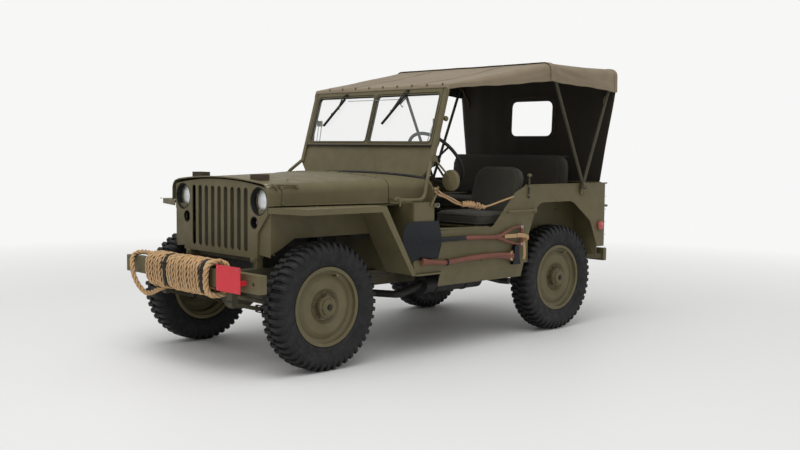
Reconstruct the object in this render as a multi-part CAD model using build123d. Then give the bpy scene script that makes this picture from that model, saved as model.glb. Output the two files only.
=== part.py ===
"""Army 4x4 car with a canvas top. Millimetres. Front faces -Y, the car's left side is +X, up is +Z.

Places along the car are written from the middle of the wheelbase, and export() moves every node
back by ORIGIN_Y, so that the finished part stands with its origin under the middle of its box.
"""

import os
from math import cos, pi, radians, sin, sqrt, tan

from build123d import *

# ---- driving dimensions -------------------------------------------------------------------------
WHEELBASE = 2032
TRACK = 1225
TYRE_R = 357
HALF_TRACK = TRACK / 2
AXLE_Z = TYRE_R
FRONT_AXLE_Y = -WHEELBASE / 2
REAR_AXLE_Y = WHEELBASE / 2
AXLE_TUBE_R = 34
SPRING_HALF = 400
HANGER_HALF = 18

RAIL_X = 344.5
RAIL_WIDTH = 53
RAIL_ROOM = 2
RAIL_DEPTH = 92
RAIL_LOW_Z = AXLE_Z + AXLE_TUBE_R + RAIL_ROOM
RAIL_TOP_Z = RAIL_LOW_Z + RAIL_DEPTH
RAIL_FRONT_RISE = 72
RAIL_NOSE = 1
RAIL_INSET = 35

SHEET = 5
LAP = 0.3
BODY_MOUNT = 6
BODY_HALF = 715
BODY_FRONT_Y = -400
REAR_OVERHANG = 499
BODY_REAR_Y = REAR_AXLE_Y + REAR_OVERHANG
REAR_CORNER_R = 45
FLOOR_Z = RAIL_TOP_Z + BODY_MOUNT + SHEET
SIDE_HEIGHT = 502
SIDE_TOP_Z = FLOOR_Z + SIDE_HEIGHT
RAIL_REAR_Y = BODY_REAR_Y - RAIL_INSET

DOOR_FRONT_Y = -236
DOOR_SILL_Z = FLOOR_Z + 242
DOOR_SILL_BACK_Y = 290
DOOR_SLOPE_Y = 505
DOOR_SLOPE_Z = FLOOR_Z + 454
DOOR_BACK_Y = REAR_AXLE_Y - 394
ROCKER_FRONT_Y = -175
ROCKER_BACK_Y = REAR_AXLE_Y - 416
ROCKER_Z = FLOOR_Z - 96
ROCKER_TUCK = 25
TAIL_LOW_Z = FLOOR_Z + 53

GRILLE_Y = FRONT_AXLE_Y - 256
GRILLE_LOW_Z = RAIL_TOP_Z + 129
GRILLE_LOW_HALF = 374
GRILLE_BEND_Z = GRILLE_LOW_Z + 143
GRILLE_BEND_HALF = 380
GRILLE_SHOULDER_Z = GRILLE_LOW_Z + 390
GRILLE_CORNER_R = 18
GRILLE_CROWN_Z = GRILLE_SHOULDER_Z + 39
GRILLE_DEPTH = 45
SLOT_COUNT = 9
SLOT_PITCH = 66.5
SLOT_WIDTH = 38
SLOT_LOW_Z = GRILLE_LOW_Z + 32
SLOT_TOP_Z = GRILLE_SHOULDER_Z - 2

HOOD_FRONT_Y = GRILLE_Y - 13
HOOD_REAR_Y = -503
HOOD_FRONT_HALF = 490
HOOD_REAR_HALF = 600
HOOD_FRONT_TOP_Z = GRILLE_SHOULDER_Z + 26
HOOD_EDGE_Z = HOOD_FRONT_TOP_Z - 123
HOOD_FRONT_CROWN_Z = HOOD_FRONT_TOP_Z + 25
HOOD_REAR_TOP_Z = HOOD_FRONT_TOP_Z + 20
HOOD_REAR_CROWN_Z = HOOD_REAR_TOP_Z + 28
HOOD_SHOULDER_R = 60
HOOD_SHEET = 3
HOOD_GAP = 6

COWL_REAR_Y = -190
COWL_REAR_HALF = BODY_HALF - 60
COWL_REAR_TOP_Z = HOOD_REAR_TOP_Z - 6
COWL_REAR_CROWN_Z = COWL_REAR_TOP_Z + 23
COWL_SHELF_Z = HOOD_EDGE_Z + 3
FIREWALL_Y = BODY_FRONT_Y - SHEET
DASH_LOW_Z = COWL_SHELF_Z - 60

APRON_X = HOOD_FRONT_HALF - 10
APRON_LOW_Z = HOOD_EDGE_Z - 182
APRON_FOOT_Z = APRON_LOW_Z - 85
GRILLE_TOP_HALF = APRON_X - 10
LAMP_X = APRON_X - 92
LAMP_Z = GRILLE_SHOULDER_Z - 74
LAMP_R = 76
LAMP_REVEAL = 3
MARKER_X = LAMP_X - 43
MARKER_Z = LAMP_Z - 119
MARKER_R = 33

FENDER_HALF = 738
FENDER_TOP_Z = HOOD_EDGE_Z - 7
FENDER_FRONT_Y = GRILLE_Y - 3
FENDER_CORNER_Y = FENDER_FRONT_Y + 70
FENDER_REAR_Y = FRONT_AXLE_Y + 376
APRON_FRONT_Y = GRILLE_Y + 12
APRON_RISE_Y = FRONT_AXLE_Y - 84
FENDER_FOOT_Z = FLOOR_Z - 10
FENDER_LIP = 32
STEP_BACK_Y = ROCKER_FRONT_Y

BUMPER_DEPTH = 50
BUMPER_Y = FRONT_AXLE_Y - SPRING_HALF - HANGER_HALF - RAIL_NOSE - BUMPER_DEPTH
BUMPER_HALF = 690
BUMPER_LOW_Z = RAIL_LOW_Z + RAIL_FRONT_RISE + 2
BUMPER_TOP_Z = RAIL_TOP_Z + RAIL_FRONT_RISE + 8
BUMPER_WEB = 6
BUMPER_HOLE_X = BUMPER_HALF - 50
BUMPER_HOLE_R = 11
RAIL_KICK_Y = (FRONT_AXLE_Y + 326, FRONT_AXLE_Y + 536)

SCREEN_RAKE = 16
SCREEN_LEDGE_Y = COWL_REAR_Y + 43
SCREEN_LEDGE_Z = COWL_REAR_CROWN_Z + 170
SCREEN_HALF = BODY_HALF - 78
SCREEN_TOP = 390
SCREEN_THICK = 24
GLASS_HALF = SCREEN_HALF - 57
GLASS_LOW = 31
GLASS_HIGH = SCREEN_TOP - 54
GLASS_DIVIDER = 30
GLASS_THICK = 6
GLASS_FIT = 0.2
ARM_R = 11
ARM_X = BODY_HALF - 23

CANVAS = 5
BOW_R = 11
BOW_X = BODY_HALF + 13
BOW_PIVOT_Y = REAR_AXLE_Y + 189
BOW_PIVOT_Z = SIDE_TOP_Z - 10
BOW_CORNER_R = 60
MAIN_BOW_Y = BOW_PIVOT_Y - 375
REAR_BOW_Y = BODY_REAR_Y + 20
BOW_TOP_Z = SIDE_TOP_Z + 784

# ---- tyre and wheel -----------------------------------------------------------------------------
LUGS = 24
LUG_DEPTH = 16
LUG_ROOT_R = TYRE_R - LUG_DEPTH
LUG_TIP_SHARE = 0.2
LUG_ROOT_SHARE = 0.25
TREAD_HALF = 60
SHOULDER_R = LUG_ROOT_R - 3
SIDEWALL_HALF = 80
SIDEWALL_R = SHOULDER_R - 53
SIDEWALL_FLAT = 10
BEAD_HALF = 55
SPARE_X = -165
SPARE_Z = FLOOR_Z + 354
SPARE_GAP = 95
SPARE_Y = BODY_REAR_Y + SPARE_GAP + SIDEWALL_HALF
RIM_SEAT_R = 208
RIM_FLANGE_R = 221
RIM_FIT = 0.5
FLANGE_FIT = 1.5
HUB_BORE_R = 21
DRUM_R = 118

# ---- steering and seats -------------------------------------------------------------------------
KINGPIN_X = HALF_TRACK - 72.5
KINGPIN_R = 22
KNUCKLE_HALF = 50
KNUCKLE_FIT = 0.5
STEER_ARM = 165
TIE_ROD_R = 12
SEAT_WIDTH = 414
SEAT_DEPTH = 325
SEAT_OUT_X = BODY_HALF - SHEET - 48
SEAT_IN_X = SEAT_OUT_X - SEAT_WIDTH
SEAT_FRONT_Y = 205
SEAT_BACK_Y = SEAT_FRONT_Y + SEAT_DEPTH
SEAT_TOP_Z = FLOOR_Z + 329
SEAT_THICK = 80
SEAT_BACK_TOP_Z = SEAT_TOP_Z + 300
SEAT_PIVOT_Y = SEAT_FRONT_Y + 35
SEAT_PIVOT_Z = FLOOR_Z + 34
WHEEL_TILT = 37.8
WHEEL_R = 209
WHEEL_RIM_R = 11
WHEEL_CENTRE = (SEAT_IN_X + 83, SEAT_FRONT_Y - 47, SEAT_TOP_Z + 333)
SEAT_TUBE_R = 12
SEAT_BAR_R = 8

# ---- rope, shovel and axe -----------------------------------------------------------------------
ROPE_D = 26
ROPE_FIT = 0.5
TOOL_R = 16
TOOL_X = BODY_HALF + TOOL_R + 5
PLATE_STANDOFF = 55
PLATE_Y = BUMPER_Y - PLATE_STANDOFF
PLATE_THICK = 4

FRONT_REACH = PLATE_Y
REAR_REACH = SPARE_Y + SIDEWALL_HALF
ORIGIN_Y = (FRONT_REACH + REAR_REACH) / 2

NODES = {}


# ---- helpers ------------------------------------------------------------------------------------
def block(x0, x1, y0, y1, z0, z1):
    """A box between two corners."""
    size = Box(abs(x1 - x0), abs(y1 - y0), abs(z1 - z0))
    return Pos((x0 + x1) / 2, (y0 + y1) / 2, (z0 + z1) / 2) * size


def prism_x(outline, x0, x1):
    """Extrude a face or a list of (y, z) points from x0 to x1."""
    return extrude(Plane.YZ.offset(x0) * closed(outline), x1 - x0)


def prism_y(outline, y0, y1):
    """Extrude a face or a list of (x, z) points from y0 to y1."""
    return extrude(Plane.XZ.offset(-y1) * closed(outline), y1 - y0)


def prism_z(outline, z0, z1):
    """Extrude a face or a list of (x, y) points from z0 to z1."""
    return extrude(Plane.XY.offset(z0) * closed(outline), z1 - z0)


def closed(outline):
    """A face from a list of points, or the face itself."""
    if isinstance(outline, list):
        return make_face(Polyline(*outline, close=True))
    return outline


def rod(start, end, radius):
    """A round bar between two points."""
    a, b = Vector(*start), Vector(*end)
    return extrude(Plane(a, z_dir=b - a) * Circle(radius), (b - a).length)


def bent_rod(points, bend, radius):
    """A round bar along straight runs joined by arcs of one radius."""
    path = FilletPolyline(*points, radius=bend) if len(points) > 2 else Line(*points)
    start = Plane(path @ 0, z_dir=path % 0)
    return sweep(start * Circle(radius), path=path)


def both_sides(solid):
    """The solid and its mirror image across the car's middle."""
    return [solid, mirror(solid, about=Plane.YZ)]


def joined(*solids):
    """One shape from solids that meet."""
    whole = solids[0]
    for solid in solids[1:]:
        whole = whole + solid
    return whole


def add(name, *solids):
    """Name a node. Solids of one node don't touch each other."""
    NODES[name] = list(solids)


def arch_face(half, edge_z, shoulder_r, top_z, crown_z, inset=0):
    """Hood section in (x, z): upright sides, round shoulders and a crowned top."""
    side, flat = half - inset, top_z - inset
    bend = shoulder_r - inset
    k = bend * (1 - sqrt(0.5))
    outline = [
        Line((-side, edge_z), (-side, flat - bend)),
        ThreePointArc((-side, flat - bend), (-side + k, flat - k), (-side + bend, flat)),
        ThreePointArc((-side + bend, flat), (0, crown_z - inset), (side - bend, flat)),
        ThreePointArc((side - bend, flat), (side - k, flat - k), (side, flat - bend)),
        Line((side, flat - bend), (side, edge_z)),
        Line((side, edge_z), (-side, edge_z)),
    ]
    return make_face(outline)


def arch_shell(front, rear, edge_z, sheet):
    """An open-bottomed sheet between two hood sections given as (y, half, top_z, crown_z)."""
    solids = []
    for inset, low in ((0, edge_z), (sheet, edge_z - 1)):
        faces = []
        for y, half, top_z, crown_z in (front, rear):
            section = arch_face(half, low, HOOD_SHOULDER_R, top_z, crown_z, inset)
            faces.append(Plane.XZ.offset(-y) * section)
        solids.append(loft(faces, ruled=True))
    return solids[0] - solids[1], solids[0]


def rounded(points, radius):
    """A face from (a, b) points with every corner rounded."""
    face = make_face(Polyline(*points, close=True))
    return fillet(face.vertices(), radius)


def screen_plane():
    """The windscreen's plane: local x is across the car and local y is up the glass."""
    lean = radians(SCREEN_RAKE)
    return Plane((0, SCREEN_LEDGE_Y, SCREEN_LEDGE_Z), x_dir=(1, 0, 0), z_dir=(0, -cos(lean), sin(lean)))


def up_screen(z):
    """Distance up the windscreen's plane of a height."""
    return (z - SCREEN_LEDGE_Z) / cos(radians(SCREEN_RAKE))


# ---- wheels -------------------------------------------------------------------------------------
def ring_face(radius):
    """A regular polygon whose flats lie on the radius."""
    return RegularPolygon(radius / cos(pi / LUGS), LUGS)


def lug_face(turn):
    """Tread outline: LUGS bars round the tyre, turned by a share of their pitch."""
    pitch = 2 * pi / LUGS
    corners = (
        (-LUG_ROOT_SHARE, LUG_ROOT_R),
        (-LUG_TIP_SHARE, TYRE_R),
        (LUG_TIP_SHARE, TYRE_R),
        (LUG_ROOT_SHARE, LUG_ROOT_R),
    )
    points = []
    for lug in range(LUGS):
        for share, radius in corners:
            angle = (lug + share + turn) * pitch
            points.append((radius * cos(angle), radius * sin(angle)))
    return make_face(Polyline(*points, close=True))


def tyre():
    """A tyre round the Z axis, with two staggered rows of lugs and its bore open."""
    shape = extrude(lug_face(0), TREAD_HALF) + extrude(lug_face(0.5), -TREAD_HALF)
    flare_r = RIM_FLANGE_R + FLANGE_FIT
    for side in (1, -1):
        rings = [Pos(0, 0, side * TREAD_HALF) * ring_face(SHOULDER_R)]
        rings.append(Pos(0, 0, side * SIDEWALL_HALF) * ring_face(SIDEWALL_R))
        shape += loft(rings, ruled=True)
    for side in (1, -1):
        rings = [Pos(0, 0, side * BEAD_HALF) * ring_face(flare_r)]
        rings.append(Pos(0, 0, side * SIDEWALL_HALF) * ring_face(SIDEWALL_R - SIDEWALL_FLAT))
        shape -= loft(rings, ruled=True)
    bore = Pos(0, 0, -SIDEWALL_HALF) * ring_face(RIM_SEAT_R + RIM_FIT)
    return shape - extrude(bore, 2 * SIDEWALL_HALF)


# Rim and dished disc in (out, radius) from the wheel's middle plane.
RIM_OUTER = [(-62, 221), (-56, 221), (-56, 208), (-34, 208), (-24, 188), (24, 188), (34, 208)]
RIM_OUTER += [(56, 208), (56, 221), (62, 221), (62, 202), (38, 202), (28, 182), (40, 150), (40, 100)]
RIM_INNER = [(34, 150), (22, 182), (-28, 182), (-38, 202), (-62, 202)]
HUB_NOSE_R = 42
HUB_NOSE = 80
HUB_FLOOR = 55
DRUM_IN = -28
DRUM_OUT = 8
DISC_HOLE_R = 45
DISC_SEAT = (22, 16)


def spun(points):
    """Turn an (out, radius) outline about the Z axis."""
    flat = make_face(Polyline(*[(radius, out) for out, radius in points], close=True))
    return revolve(Plane.XZ * flat, Axis.Z)


def road_wheel():
    """Rim, disc, hub and brake drum in one piece, bored for the spindle."""
    out_seat, in_seat = DISC_SEAT
    hub = [(out_seat, 78), (out_seat, HUB_NOSE_R), (HUB_NOSE, HUB_NOSE_R), (HUB_NOSE, 0), (HUB_FLOOR, 0)]
    hub += [(HUB_FLOOR, HUB_BORE_R), (DRUM_IN, HUB_BORE_R), (DRUM_IN, DRUM_R), (DRUM_OUT, DRUM_R)]
    hub += [(DRUM_OUT, 78), (in_seat, 78), (34, 100)]
    return spun(RIM_OUTER + hub + RIM_INNER)


def spare_disc():
    """Rim and disc with an open middle."""
    out_seat, in_seat = DISC_SEAT
    middle = [(out_seat, 78), (out_seat, DISC_HOLE_R), (in_seat, DISC_HOLE_R), (in_seat, 78), (34, 100)]
    return spun(RIM_OUTER + middle + RIM_INNER)


WHEELS = (
    # name, side, axle place
    ("fl", 1, FRONT_AXLE_Y),
    ("fr", -1, FRONT_AXLE_Y),
    ("rl", 1, REAR_AXLE_Y),
    ("rr", -1, REAR_AXLE_Y),
)


def make_wheels():
    rubber = tyre()
    steel = road_wheel()
    for name, side, y in WHEELS:
        place = Pos(side * HALF_TRACK, y, AXLE_Z) * Rot(0, side * 90, 0)
        add("tyre_" + name, place * rubber)
        add("wheel_" + name, place * steel)
    place = Pos(SPARE_X, SPARE_Y, SPARE_Z) * Rot(-90, 0, 0)
    add("spare_tyre", place * rubber)
    add("spare_wheel", place * spare_disc())


# ---- frame, axles and drive ---------------------------------------------------------------------
AXLE_END_X = KINGPIN_X - 50
DIFF_X = -170
DIFF_R = 112
SPRING_WIDTH = 45
SPRING_THICK = 26
SPRING_EYE_R = 18
YOKE_HALF = 26
YOKE_THICK = 15
SPINDLE_R = 20
SPINDLE_OUT = 45
COLUMN_R = 20
BACKPLATE_THICK = 5
BACKPLATE_X = HALF_TRACK + DRUM_IN - 4.5 - BACKPLATE_THICK
CROSSMEMBER_Z = (RAIL_TOP_Z - 40, RAIL_TOP_Z - 10)
CROSSMEMBERS = (
    # front edge, back edge
    (170, 230),
    (REAR_AXLE_Y - 276, REAR_AXLE_Y - 226),
    (RAIL_REAR_Y - 50, RAIL_REAR_Y),
)


def make_frame():
    kick_front, kick_back = RAIL_KICK_Y
    front_y = BUMPER_Y + BUMPER_DEPTH
    rise = RAIL_FRONT_RISE
    side = [(front_y, RAIL_LOW_Z + rise), (kick_front, RAIL_LOW_Z + rise), (kick_back, RAIL_LOW_Z)]
    side += [(RAIL_REAR_Y, RAIL_LOW_Z), (RAIL_REAR_Y, RAIL_TOP_Z), (kick_back, RAIL_TOP_Z)]
    side += [(kick_front, RAIL_TOP_Z + rise), (front_y, RAIL_TOP_Z + rise)]
    half = RAIL_WIDTH / 2
    rail = prism_x(side, RAIL_X - half, RAIL_X + half)
    for y in (FRONT_AXLE_Y - SPRING_HALF, FRONT_AXLE_Y + SPRING_HALF):
        low = RAIL_LOW_Z
        rail += block(RAIL_X - half, RAIL_X + half, y - HANGER_HALF, y + HANGER_HALF, low, low + rise + 1)
    frame = joined(*both_sides(rail))
    inner = RAIL_X - half
    low, high = CROSSMEMBER_Z
    for y0, y1 in CROSSMEMBERS:
        frame += block(-inner, inner, y0, y1, low, high)
    frame += block(-inner, inner, front_y + 60, front_y + 105, low + rise, high + rise)
    add("chassis_frame", frame)


def leaf_spring(x, y):
    """One curved spring with an eye at each end, its top under the axle pad."""
    low = AXLE_Z - AXLE_TUBE_R - SPRING_THICK - 2
    eye_z = RAIL_LOW_Z - SPRING_EYE_R
    upper = ThreePointArc((y - SPRING_HALF, eye_z + 8), (y, low + SPRING_THICK), (y + SPRING_HALF, eye_z + 8))
    lower = ThreePointArc((y + SPRING_HALF, eye_z - 5), (y, low), (y - SPRING_HALF, eye_z - 5))
    ends = [Line(upper @ 1, lower @ 0), Line(lower @ 1, upper @ 0)]
    half = SPRING_WIDTH / 2
    leaf = prism_x(make_face([upper, ends[0], lower, ends[1]]), x - half, x + half)
    for end in (-SPRING_HALF, SPRING_HALF):
        leaf += rod((x - half, y + end, eye_z), (x + half, y + end, eye_z), SPRING_EYE_R)
    return leaf


def axle_housing(y, end_x, bulge_y):
    """A round tube with the differential's bulge and a pad over each spring."""
    housing = rod((-end_x, y, AXLE_Z), (end_x, y, AXLE_Z), AXLE_TUBE_R)
    housing += Pos(DIFF_X, y, AXLE_Z) * Sphere(DIFF_R)
    nose = (DIFF_X, y + bulge_y, AXLE_Z)
    housing += rod((DIFF_X, y, AXLE_Z), nose, AXLE_TUBE_R)
    pad = AXLE_Z - AXLE_TUBE_R - 2
    for x in (-RAIL_X, RAIL_X):
        housing += block(x - 24, x + 24, y - 40, y + 40, pad + 0.8, AXLE_Z)
    return housing


def make_axles():
    springs = []
    for y in (FRONT_AXLE_Y, REAR_AXLE_Y):
        springs += both_sides(leaf_spring(RAIL_X, y))
    add("leaf_springs", *springs)
    front = axle_housing(FRONT_AXLE_Y, AXLE_END_X, DIFF_R + 30)
    gap = KNUCKLE_HALF + KNUCKLE_FIT
    for side in (1, -1):
        back = side * (AXLE_END_X - YOKE_THICK)
        ends = AXLE_Z - gap - YOKE_THICK, AXLE_Z + gap + YOKE_THICK
        front += block(back, side * AXLE_END_X, *yoke_y(), *ends)
        pin_x = side * KINGPIN_X
        for low in (gap, -gap - YOKE_THICK):
            z0, z1 = AXLE_Z + low, AXLE_Z + low + YOKE_THICK
            front += block(side * (AXLE_END_X - 1), pin_x, *yoke_y(), z0, z1)
            front += rod((pin_x, FRONT_AXLE_Y, z0), (pin_x, FRONT_AXLE_Y, z1), YOKE_HALF)
    add("front_axle", front)
    rear_end = HALF_TRACK + DRUM_IN - 3
    rear = axle_housing(REAR_AXLE_Y, rear_end, -DIFF_R - 30)
    y, z = REAR_AXLE_Y, AXLE_Z
    for side in (1, -1):
        rear += rod((side * (rear_end - 1), y, z), (side * (HALF_TRACK + SPINDLE_OUT), y, z), SPINDLE_R)
        rear += rod((side * (rear_end - BACKPLATE_THICK), y, z), (side * rear_end, y, z), DRUM_R)
    add("rear_axle", rear)


def yoke_y():
    return FRONT_AXLE_Y - YOKE_HALF, FRONT_AXLE_Y + YOKE_HALF


def make_steering():
    arm_y = FRONT_AXLE_Y - STEER_ARM
    for name, side in (("left", 1), ("right", -1)):
        x = side * KINGPIN_X
        low, high = AXLE_Z - KNUCKLE_HALF, AXLE_Z + KNUCKLE_HALF
        post = rod((x, FRONT_AXLE_Y, low), (x, FRONT_AXLE_Y, high), KINGPIN_R)
        plate_in = side * BACKPLATE_X
        plate_out = side * (BACKPLATE_X + BACKPLATE_THICK)
        tip = side * (HALF_TRACK + SPINDLE_OUT)
        post += rod((x, FRONT_AXLE_Y, AXLE_Z), (tip, FRONT_AXLE_Y, AXLE_Z), SPINDLE_R)
        post += rod((plate_in, FRONT_AXLE_Y, AXLE_Z), (plate_out, FRONT_AXLE_Y, AXLE_Z), DRUM_R)
        arm_z = AXLE_Z - TIE_ROD_R - 10.5
        post += block(x - 11, x + 11, FRONT_AXLE_Y - 10, arm_y, arm_z - 5, arm_z + 5)
        post += rod((x, arm_y, arm_z - 5), (x, arm_y, arm_z + 5), 14)
        add("knuckle_" + name, post)
    bar = rod((-KINGPIN_X, arm_y, AXLE_Z), (KINGPIN_X, arm_y, AXLE_Z), TIE_ROD_R)
    for side in (1, -1):
        x = side * KINGPIN_X
        bar += rod((x, arm_y, AXLE_Z - TIE_ROD_R - 5), (x, arm_y, AXLE_Z + TIE_ROD_R), 14)
    add("tie_rod", bar)
    lean = radians(WHEEL_TILT)
    down = Vector(0, -cos(lean), -sin(lean))
    centre = Vector(*WHEEL_CENTRE)
    plane = Plane(centre, x_dir=(1, 0, 0), z_dir=-down)
    wheel = plane * Torus(WHEEL_R, WHEEL_RIM_R)
    for turn in (90, 210, 330):
        end = plane.from_local_coords(Vector(WHEEL_R * cos(radians(turn)), WHEEL_R * sin(radians(turn)), 0))
        hub = centre + down * 18
        wheel += rod(tuple(hub), tuple(end), 7)
    wheel += rod(tuple(centre + down * 45), tuple(centre - down * 4), 27)
    add("steering_wheel", wheel)
    add("steering_column", rod(*column_ends(), COLUMN_R))


def column_ends():
    """Top and foot of the steering column, on the steering wheel's axis."""
    lean = radians(WHEEL_TILT)
    down = Vector(0, -cos(lean), -sin(lean))
    centre = Vector(*WHEEL_CENTRE)
    reach = (WHEEL_CENTRE[1] - FIREWALL_Y + 25) / cos(lean)
    return tuple(centre + down * 48), tuple(centre + down * reach)


def make_drive():
    radiator_y = GRILLE_Y + GRILLE_DEPTH + 2
    radiator_back = radiator_y + 50
    engine_y = radiator_back + 25
    engine_back = FIREWALL_Y - 155
    engine_low = RAIL_TOP_Z + 20
    add("engine_block", block(-190, 190, engine_y, engine_back, engine_low, HOOD_EDGE_Z + 53))
    low = RAIL_LOW_Z + 7
    box = block(-100, 100, engine_back + 2, 120, low, low + 80)
    box += block(DIFF_X - 60, -60, -200, 160, low - 55, low + 70)
    shaft_z = low - 15
    for start, end in ((155, REAR_AXLE_Y - DIFF_R - 31), (-195, FRONT_AXLE_Y + DIFF_R + 31)):
        box += rod((DIFF_X, start, shaft_z), (DIFF_X, end, AXLE_Z + 5), 25)
    add("gearbox_and_shafts", box)
    can_x, can_z, pipe_x = RAIL_X + 175.5, RAIL_LOW_Z + 2, 170
    can = rod((can_x, -150, can_z), (can_x, 350, can_z), 60)
    dip = can_z - 50
    front = [(can_x, -145, can_z), (can_x, -330, dip), (300, -440, dip), (pipe_x, engine_back + 30, dip + 35)]
    front.append((pipe_x, engine_back - 33, engine_low - 13))
    can += bent_rod(front, 50, 22)
    tail = [(can_x, 345, can_z), (can_x, 430, can_z), (can_x + 80, 500, can_z - 25)]
    tail.append((can_x + 145, 515, can_z - 25))
    can += bent_rod(tail, 40, 20)
    add("exhaust", can)
    add("radiator", block(-290, 290, radiator_y, radiator_back, GRILLE_LOW_Z - 29, GRILLE_SHOULDER_Z + 8))


# ---- front end ----------------------------------------------------------------------------------
def grille_outline(inset=0):
    low, bend, top = GRILLE_LOW_HALF - inset, GRILLE_BEND_HALF - inset, GRILLE_TOP_HALF - inset
    base, shoulder = GRILLE_LOW_Z + inset, GRILLE_SHOULDER_Z - inset
    left = [(top, shoulder), (top, GRILLE_BEND_Z + 100), (bend, GRILLE_BEND_Z), (low, base)]
    right = [(-x, z) for x, z in reversed(left)]
    edges = [Polyline(*left, *right), ThreePointArc(right[-1], (0, GRILLE_CROWN_Z - inset), left[0])]
    face = make_face(edges)
    corners = [v for v in face.vertices() if v.Y > shoulder - 1]
    return fillet(corners, GRILLE_CORNER_R - inset)


def make_grille():
    plate = prism_y(grille_outline(), GRILLE_Y, GRILLE_Y + SHEET)
    rim = prism_y(grille_outline(), GRILLE_Y, GRILLE_Y + GRILLE_DEPTH)
    plate += rim - prism_y(grille_outline(SHEET), GRILLE_Y, GRILLE_Y + GRILLE_DEPTH)
    slot_z = (SLOT_LOW_Z + SLOT_TOP_Z) / 2
    slot = SlotOverall(SLOT_TOP_Z - SLOT_LOW_Z, SLOT_WIDTH, rotation=90)
    for index in range(SLOT_COUNT):
        x = (index - (SLOT_COUNT - 1) / 2) * SLOT_PITCH
        plate -= prism_y(Pos(x, slot_z) * slot, GRILLE_Y - 1, GRILLE_Y + SHEET + 1)
    for side in (1, -1):
        for x, z, r in ((LAMP_X, LAMP_Z, LAMP_R), (MARKER_X, MARKER_Z, MARKER_R)):
            hole = Pos(side * x, z) * Circle(r + LAMP_REVEAL)
            plate -= prism_y(hole, GRILLE_Y - 1, GRILLE_Y + SHEET + 1)
    leg_z = RAIL_TOP_Z + RAIL_FRONT_RISE
    for side in (1, -1):
        x0, x1 = side * (RAIL_X - 20), side * (RAIL_X + 20)
        plate += block(x0, x1, GRILLE_Y + SHEET, GRILLE_Y + GRILLE_DEPTH, leg_z, GRILLE_LOW_Z + SHEET)
    add("grille", plate)


def make_lamps():
    lamps = []
    for side in (1, -1):
        x = side * LAMP_X
        front, back = GRILLE_Y + 6, GRILLE_Y + 105
        bowl = [(0, front), (LAMP_R, front + 12), (LAMP_R, front + 45), (45, back), (0, back)]
        lamp = revolve(Plane.XY * make_face(Polyline(*bowl, close=True)), Axis.Y)
        lamp = Pos(x, 0, LAMP_Z) * lamp
        bracket = (LAMP_Z - LAMP_R - 8, LAMP_Z - LAMP_R + 20)
        lamp += block(x - side * 12, side * (APRON_X - 0.2), front + 46, front + 68, *bracket)
        lamps.append(lamp)
    for side in (1, -1):
        back = GRILLE_Y + SHEET + 0.1
        lens = rod((side * MARKER_X, GRILLE_Y - 8, MARKER_Z), (side * MARKER_X, back + 30, MARKER_Z), MARKER_R)
        lens += rod((side * MARKER_X, back, MARKER_Z), (side * MARKER_X, back + 4, MARKER_Z), MARKER_R + 6)
        lamps.append(lens)
    add("front_lamps", *lamps)


def make_hood():
    front = (HOOD_FRONT_Y, HOOD_FRONT_HALF, HOOD_FRONT_TOP_Z, HOOD_FRONT_CROWN_Z)
    rear = (HOOD_REAR_Y, HOOD_REAR_HALF, HOOD_REAR_TOP_Z, HOOD_REAR_CROWN_Z)
    shell, whole = arch_shell(front, rear, HOOD_EDGE_Z, HOOD_SHEET)
    add("hood", shell)
    chunks = []
    for side in (1, -1):
        y = HOOD_FRONT_Y + 55
        chunk = block(side * 250, side * 350, y, y + 60, HOOD_FRONT_TOP_Z - 5, HOOD_REAR_CROWN_Z - 2)
        chunks.append(chunk - whole)
    add("hood_blocks", *chunks)


def make_cowl():
    front = (HOOD_REAR_Y + HOOD_GAP, HOOD_REAR_HALF, HOOD_REAR_TOP_Z, HOOD_REAR_CROWN_Z)
    rear = (COWL_REAR_Y, COWL_REAR_HALF, COWL_REAR_TOP_Z, COWL_REAR_CROWN_Z)
    shell, whole = arch_shell(front, rear, COWL_SHELF_Z - SHEET, SHEET)
    wall = block(-BODY_HALF, BODY_HALF, FIREWALL_Y, FIREWALL_Y + SHEET, FLOOR_Z, HOOD_REAR_CROWN_Z)
    inner = BODY_HALF - SHEET
    wall &= whole + block(-inner, inner, FIREWALL_Y, BODY_FRONT_Y, FLOOR_Z, COWL_SHELF_Z)
    shell += wall
    dash_y = COWL_REAR_Y - SHEET, COWL_REAR_Y
    dash = block(-COWL_REAR_HALF, COWL_REAR_HALF, *dash_y, DASH_LOW_Z, HOOD_REAR_CROWN_Z)
    dash &= whole + block(-BODY_HALF, BODY_HALF, *dash_y, DASH_LOW_Z, COWL_SHELF_Z)
    shell += dash
    for side in (1, -1):
        wide = side * BODY_HALF
        shelf, inner = COWL_SHELF_Z - SHEET, side * (COWL_REAR_HALF - 15)
        shell += block(side * (HOOD_REAR_HALF - 1), wide, BODY_FRONT_Y, DOOR_FRONT_Y, shelf, COWL_SHELF_Z)
        flange = [(inner, shelf), (wide, shelf), (wide, shelf + 70), (side * (BODY_HALF - 25), shelf + 105)]
        flange.append((inner, shelf + 125))
        shell += prism_y(flange, DOOR_FRONT_Y - SHEET, DOOR_FRONT_Y)
        pivot = side * (ARM_X - ARM_R - 0.2)
        front_y, low = HOOD_REAR_Y + HOOD_GAP, COWL_SHELF_Z + 2
        shell += block(side * (HOOD_REAR_HALF - 2), pivot, front_y, front_y + 27, low, low + 26)
    low, high = COWL_SHELF_Z - 10, COWL_SHELF_Z + 75
    sides = block(-BODY_HALF, BODY_HALF, DOOR_FRONT_Y, COWL_REAR_Y - SHEET, low, high)
    sides -= block(-HOOD_REAR_HALF, HOOD_REAR_HALF, DOOR_FRONT_Y, COWL_REAR_Y, low, high)
    centre, toe = column_ends()
    add("cowl", shell - sides - rod(centre, toe, COLUMN_R + 1))


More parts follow.
